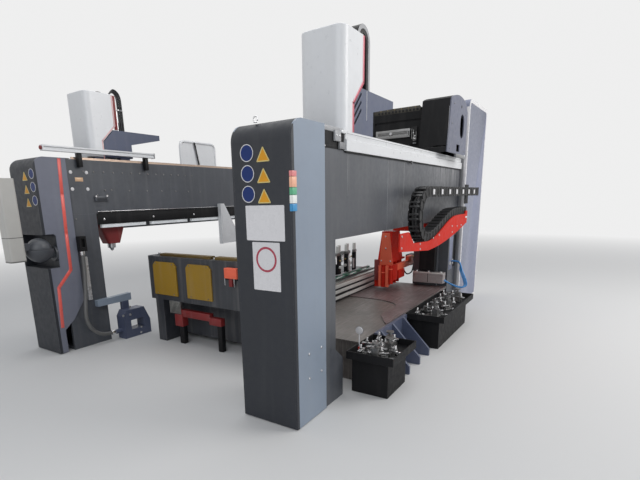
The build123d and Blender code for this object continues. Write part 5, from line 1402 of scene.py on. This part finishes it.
class BuildHeadFittings(Operator):
    """Face the side head with its tapered plate, columns and blocks, and hang the small motor on it"""

    bl_idname = "fsw.head"
    bl_label = "Head fittings"

    def execute(self, context):
        # Lit and shaded copies of one red: the brightest red is painted light, the dark red block painted
        # shade
        plate = start_block("head_front_plate", (2812, 2828), (484, 650), (660, 1040))
        tapered(plate, UP, (1, 0.55, 1), (0, 8, 0))
        parts = [coated(soften(plate, 3), "bright_red")]
        parts += slab_list("head_front_plate", ((2828, 2990), (484, 566), (470, 655), "red_paint", 6),
                           ((2814, 2832), (560, 712), (455, 655), "red_paint", 5),
                           ((2806, 2830), (650, 712), (470, 722), "dark_red", 5),
                           ((3000, 3640), (520, 566), (560, 640), "bright_red", 6),
                           ((3480, 3640), (516, 570), (600, 690), "bright_red", 10),
                           ((3080, 3300), (505, 566), (455, 560), "red_paint", 8))
        for y, low, radius, finish in ((638, 398, 19, "bright_red"), (594, 396, 22, "red_paint"),
                                       (548, 398, 22, "bright_red"), (507, 440, 20, "red_paint")):
            parts += stud_list("head_front_plate", ((2812, y, low), UP, radius, 655 - low, finish, 16),
                               ((2812, y, low + 170), UP, radius + 4, 12, "bright_red", 16))
        finished(joined(parts, "head_fittings"), "side_head")
        places = [(2812, y, z) for y, z in ((575, 1000), (512, 710), (625, 710), (570, 860))]
        screws("head_screws", places, MINUS_X, 9, 5, "bright_steel", "side_head")
        motor = slab_list("head_motor", ((3640, 3860), (535, 625), (545, 690), "black_plastic", 10))
        motor += stud_list("head_motor", ((3700, 535, 655), MINUS_Y, 24, 14, "brass"),
                           ((3790, 535, 635), MINUS_Y, 17, 16, "sign_white"),
                           ((3700, 535, 585), MINUS_Y, 20, 12, "bright_steel"))
        route = ((3790, 560, 560), (3780, 560, 470), (3700, 565, 430), (3520, 568, 440), (3440, 572, 520))
        motor.append(tube_mesh("head_motor", route, 9, "black_plastic"))
        finished(joined(motor, "head_motor"), "side_head")
        return {"FINISHED"}


class BuildTrayFittings(Operator):
    """Lay the clamp sets, fixtures, dial and floor sheet, and the hoses, slot and lid at the rear leg"""

    bl_idname = "fsw.trays"
    bl_label = "Tray fittings"

    def clamp_set(self):
        """A stepped block with a strap over it, held by a stud with its washer and nut."""
        parts = slab_list("clamp_set", *[((-34, 34 - 18 * step), (-16, 16), (14 * step, 14 * step + 13),
                                          "worn_steel", 1.5) for step in range(3)])
        parts.append(slab("clamp_set", (-70, 24), (-13, 13), (43, 57), "steel_along", 2))
        parts += stud_list("clamp_set", ((-30, 0, 57), UP, 17, 3, "bright_steel"),
                           ((-30, 0, 60), UP, 14, 14, "dark_steel", 6),
                           ((-30, 0, 2), UP, 7, 96, "bright_steel", 12),
                           ((48, 8, 0), UP, 20, 16, "worn_steel", 6),
                           ((52, -26, 0), UP, 12, 24, "bright_steel", 12))
        return joined(parts, "clamp_set")

    def fixture(self):
        """A tall clamping fixture: foot, column, swing arm and its two cylinders."""
        parts = slab_list("fixture", ((-48, 48), (-40, 40), (0, 26), "worn_steel", 3),
                          ((-22, 22), (-22, 22), (26, 250), "black_paint", 4),
                          ((-60, 34), (-16, 16), (250, 284), "dark_steel", 5))
        parts += stud_list("fixture", ((0, 0, 284), UP, 19, 78, "pale_bar"),
                           ((-44, 0, 160), UP, 12, 90, "bright_steel"),
                           ((34, 0, 60), UP, 15, 120, "cast_aluminium"),
                           ((0, -22, 120), MINUS_Y, 17, 26, "pale_bar"),
                           ((0, -22, 196), MINUS_Y, 10, 18, "brass"))
        return joined(parts, "fixture")

    def scattered(self, source, places, name):
        """Copies of source at every place, each turned further than the last."""
        made = [copied(source, turned(place, 2.4 * n, "Z")) for n, place in enumerate(places)]
        finished(joined(made, name))

    def floor_sheet(self):
        edge = ((2352, 542), (2340, 441), (2288, 301), (2192, 199), (2069, 164), (1904, 172), (1753, 169),
                (1603, 95), (1487, 25))
        corners = [(2352, 809, False), *[(x, y, True) for x, y in edge], (1462, 4, False), (3388, 4, False),
                   (3388, 809, False)]
        finished(cut_sheet("floor_sheet", corners, 342, 352, "sheet_mauve"))

    def hoses(self):
        """The loose hoses on the table's ledge, and the three blue ones that loop down to the valves."""
        made = []
        finishes = ("green_hose", "sign_white", "green_hose", "dark_rubber", "green_hose", "pale_grey")
        for n, finish in enumerate(finishes):
            route = [(2030 + 100 * step + 17 * n, 893 + 7 * n + 20 * math.sin(1.9 * step + 1.3 * n),
                      DECK_TOP + 9 + 5 * n) for step in range(11)]
            made.append(tube_mesh("ledge_hoses", route, 7 + n % 3, finish))
        finished(joined(made, "ledge_hoses"))
        made = []
        for drop in (0, 14, 28):
            route = ((3600 + drop, 12, 640), (3570 + drop, -70, 650), (3480 + drop, -130, 630),
                     (3430, -165 + drop, 560), (3420, -215 + drop, 460), (3415, -240 + drop, 380),
                     (3405 - drop, -190, 350), (3400 - drop, -90, 365), (3350 + drop, 24, 430))
            made.append(tube_mesh("valve_hoses", route, 9, "blue_hose"))
        finished(joined(made, "valve_hoses"))

    def execute(self, context):
        source = self.clamp_set()
        near = [(770 + 74 * (n % 5), -90 - 92 * (n // 5) - 20 * (n % 2), TRAY_FLOOR) for n in range(13)]
        rear = [(2060 + 76 * n, -90 - 88 * (n % 3), TRAY_FLOOR) for n in range(14)]
        for name, places in (("near_clamp_sets", near), ("rear_clamp_sets", rear)):
            self.scattered(source, places, name)
        bpy.data.objects.remove(source)
        source = self.fixture()
        places = [(2320 + 105 * n, 950 + 40 * (n % 2), DECK_TOP) for n in range(5)]
        self.scattered(source, places, "table_fixtures")
        bpy.data.objects.remove(source)
        dial = stud_list("tray_dial", ((882, -9, 445), MINUS_X, 30, 9, "sign_white", 32),
                         ((884, -9, 445), MINUS_X, 33, 5, "grey_plastic", 32),
                         ((879, -9, 288), UP, 5, 132, "sign_white", 12),
                         ((879, -9, 288), UP, 16, 26, "red_paint"))
        finished(joined(dial, "tray_dial"))
        self.floor_sheet()
        self.hoses()
        slabs("leg_slot", [((3664, 3798), (10.6, 12), (560, 962), "black_plastic"),
                           ((3480, 3636), (10.9, 12), (540, 975), "guard_paint"),
                           ((3600, 3660), (2, 12), (600, 660), "silver_paint"),
                           ((3500, 3560), (2, 12), (600, 640), "silver_paint")], 0.5)
        slabs("valve_lid", [((3290, 3298), (24, 396), (514, 529), "pale_bar"),
                            ((3294, 3297), (205, 212), (400, 514), "black_plastic")], 1)
        screws("valve_bolts", [(3340, y, 528) for y in (60, 210, 360)], UP, 14, 12, "bright_steel")
        return {"FINISHED"}


OPERATORS = (ApplyFinishes, BuildStage, BuildLegHose, BuildEnergyChain, BuildCoverSigns,
             BuildNearPortalFittings, BuildFarPortalFittings, BuildTowerFittings, BuildSlideFittings,
             BuildGuardTrims, BuildArmFittings, BuildTableFittings, BuildHeadFittings, BuildTrayFittings)


class MachinePanel(Panel):
    """Lists the colours, sizes and steps of the machine"""

    bl_idname = "VIEW3D_PT_fsw"
    bl_label = "Welding machine"
    bl_space_type = "VIEW_3D"
    bl_region_type = "UI"
    bl_category = "Welding machine"

    def draw(self, context):
        for group in (context.scene.fsw_look, context.scene.fsw_sizes):
            for name in group.__annotations__:
                self.layout.prop(group, name)
        for operator in OPERATORS:
            self.layout.operator(operator.bl_idname)


CLASSES = (MachineLook, MachineSizes, *OPERATORS, MachinePanel)


def register():
    for made in CLASSES:
        bpy.utils.register_class(made)
    bpy.types.Scene.fsw_look = PointerProperty(type=MachineLook)
    bpy.types.Scene.fsw_sizes = PointerProperty(type=MachineSizes)


def unregister():
    del bpy.types.Scene.fsw_look
    del bpy.types.Scene.fsw_sizes
    for made in reversed(CLASSES):
        bpy.utils.unregister_class(made)


def main():
    register()
    bpy.context.scene.view_settings.view_transform = "Standard"
    for operator in OPERATORS:
        group, name = operator.bl_idname.split(".")
        getattr(getattr(bpy.ops, group), name)()


if __name__ == "__main__":
    main()
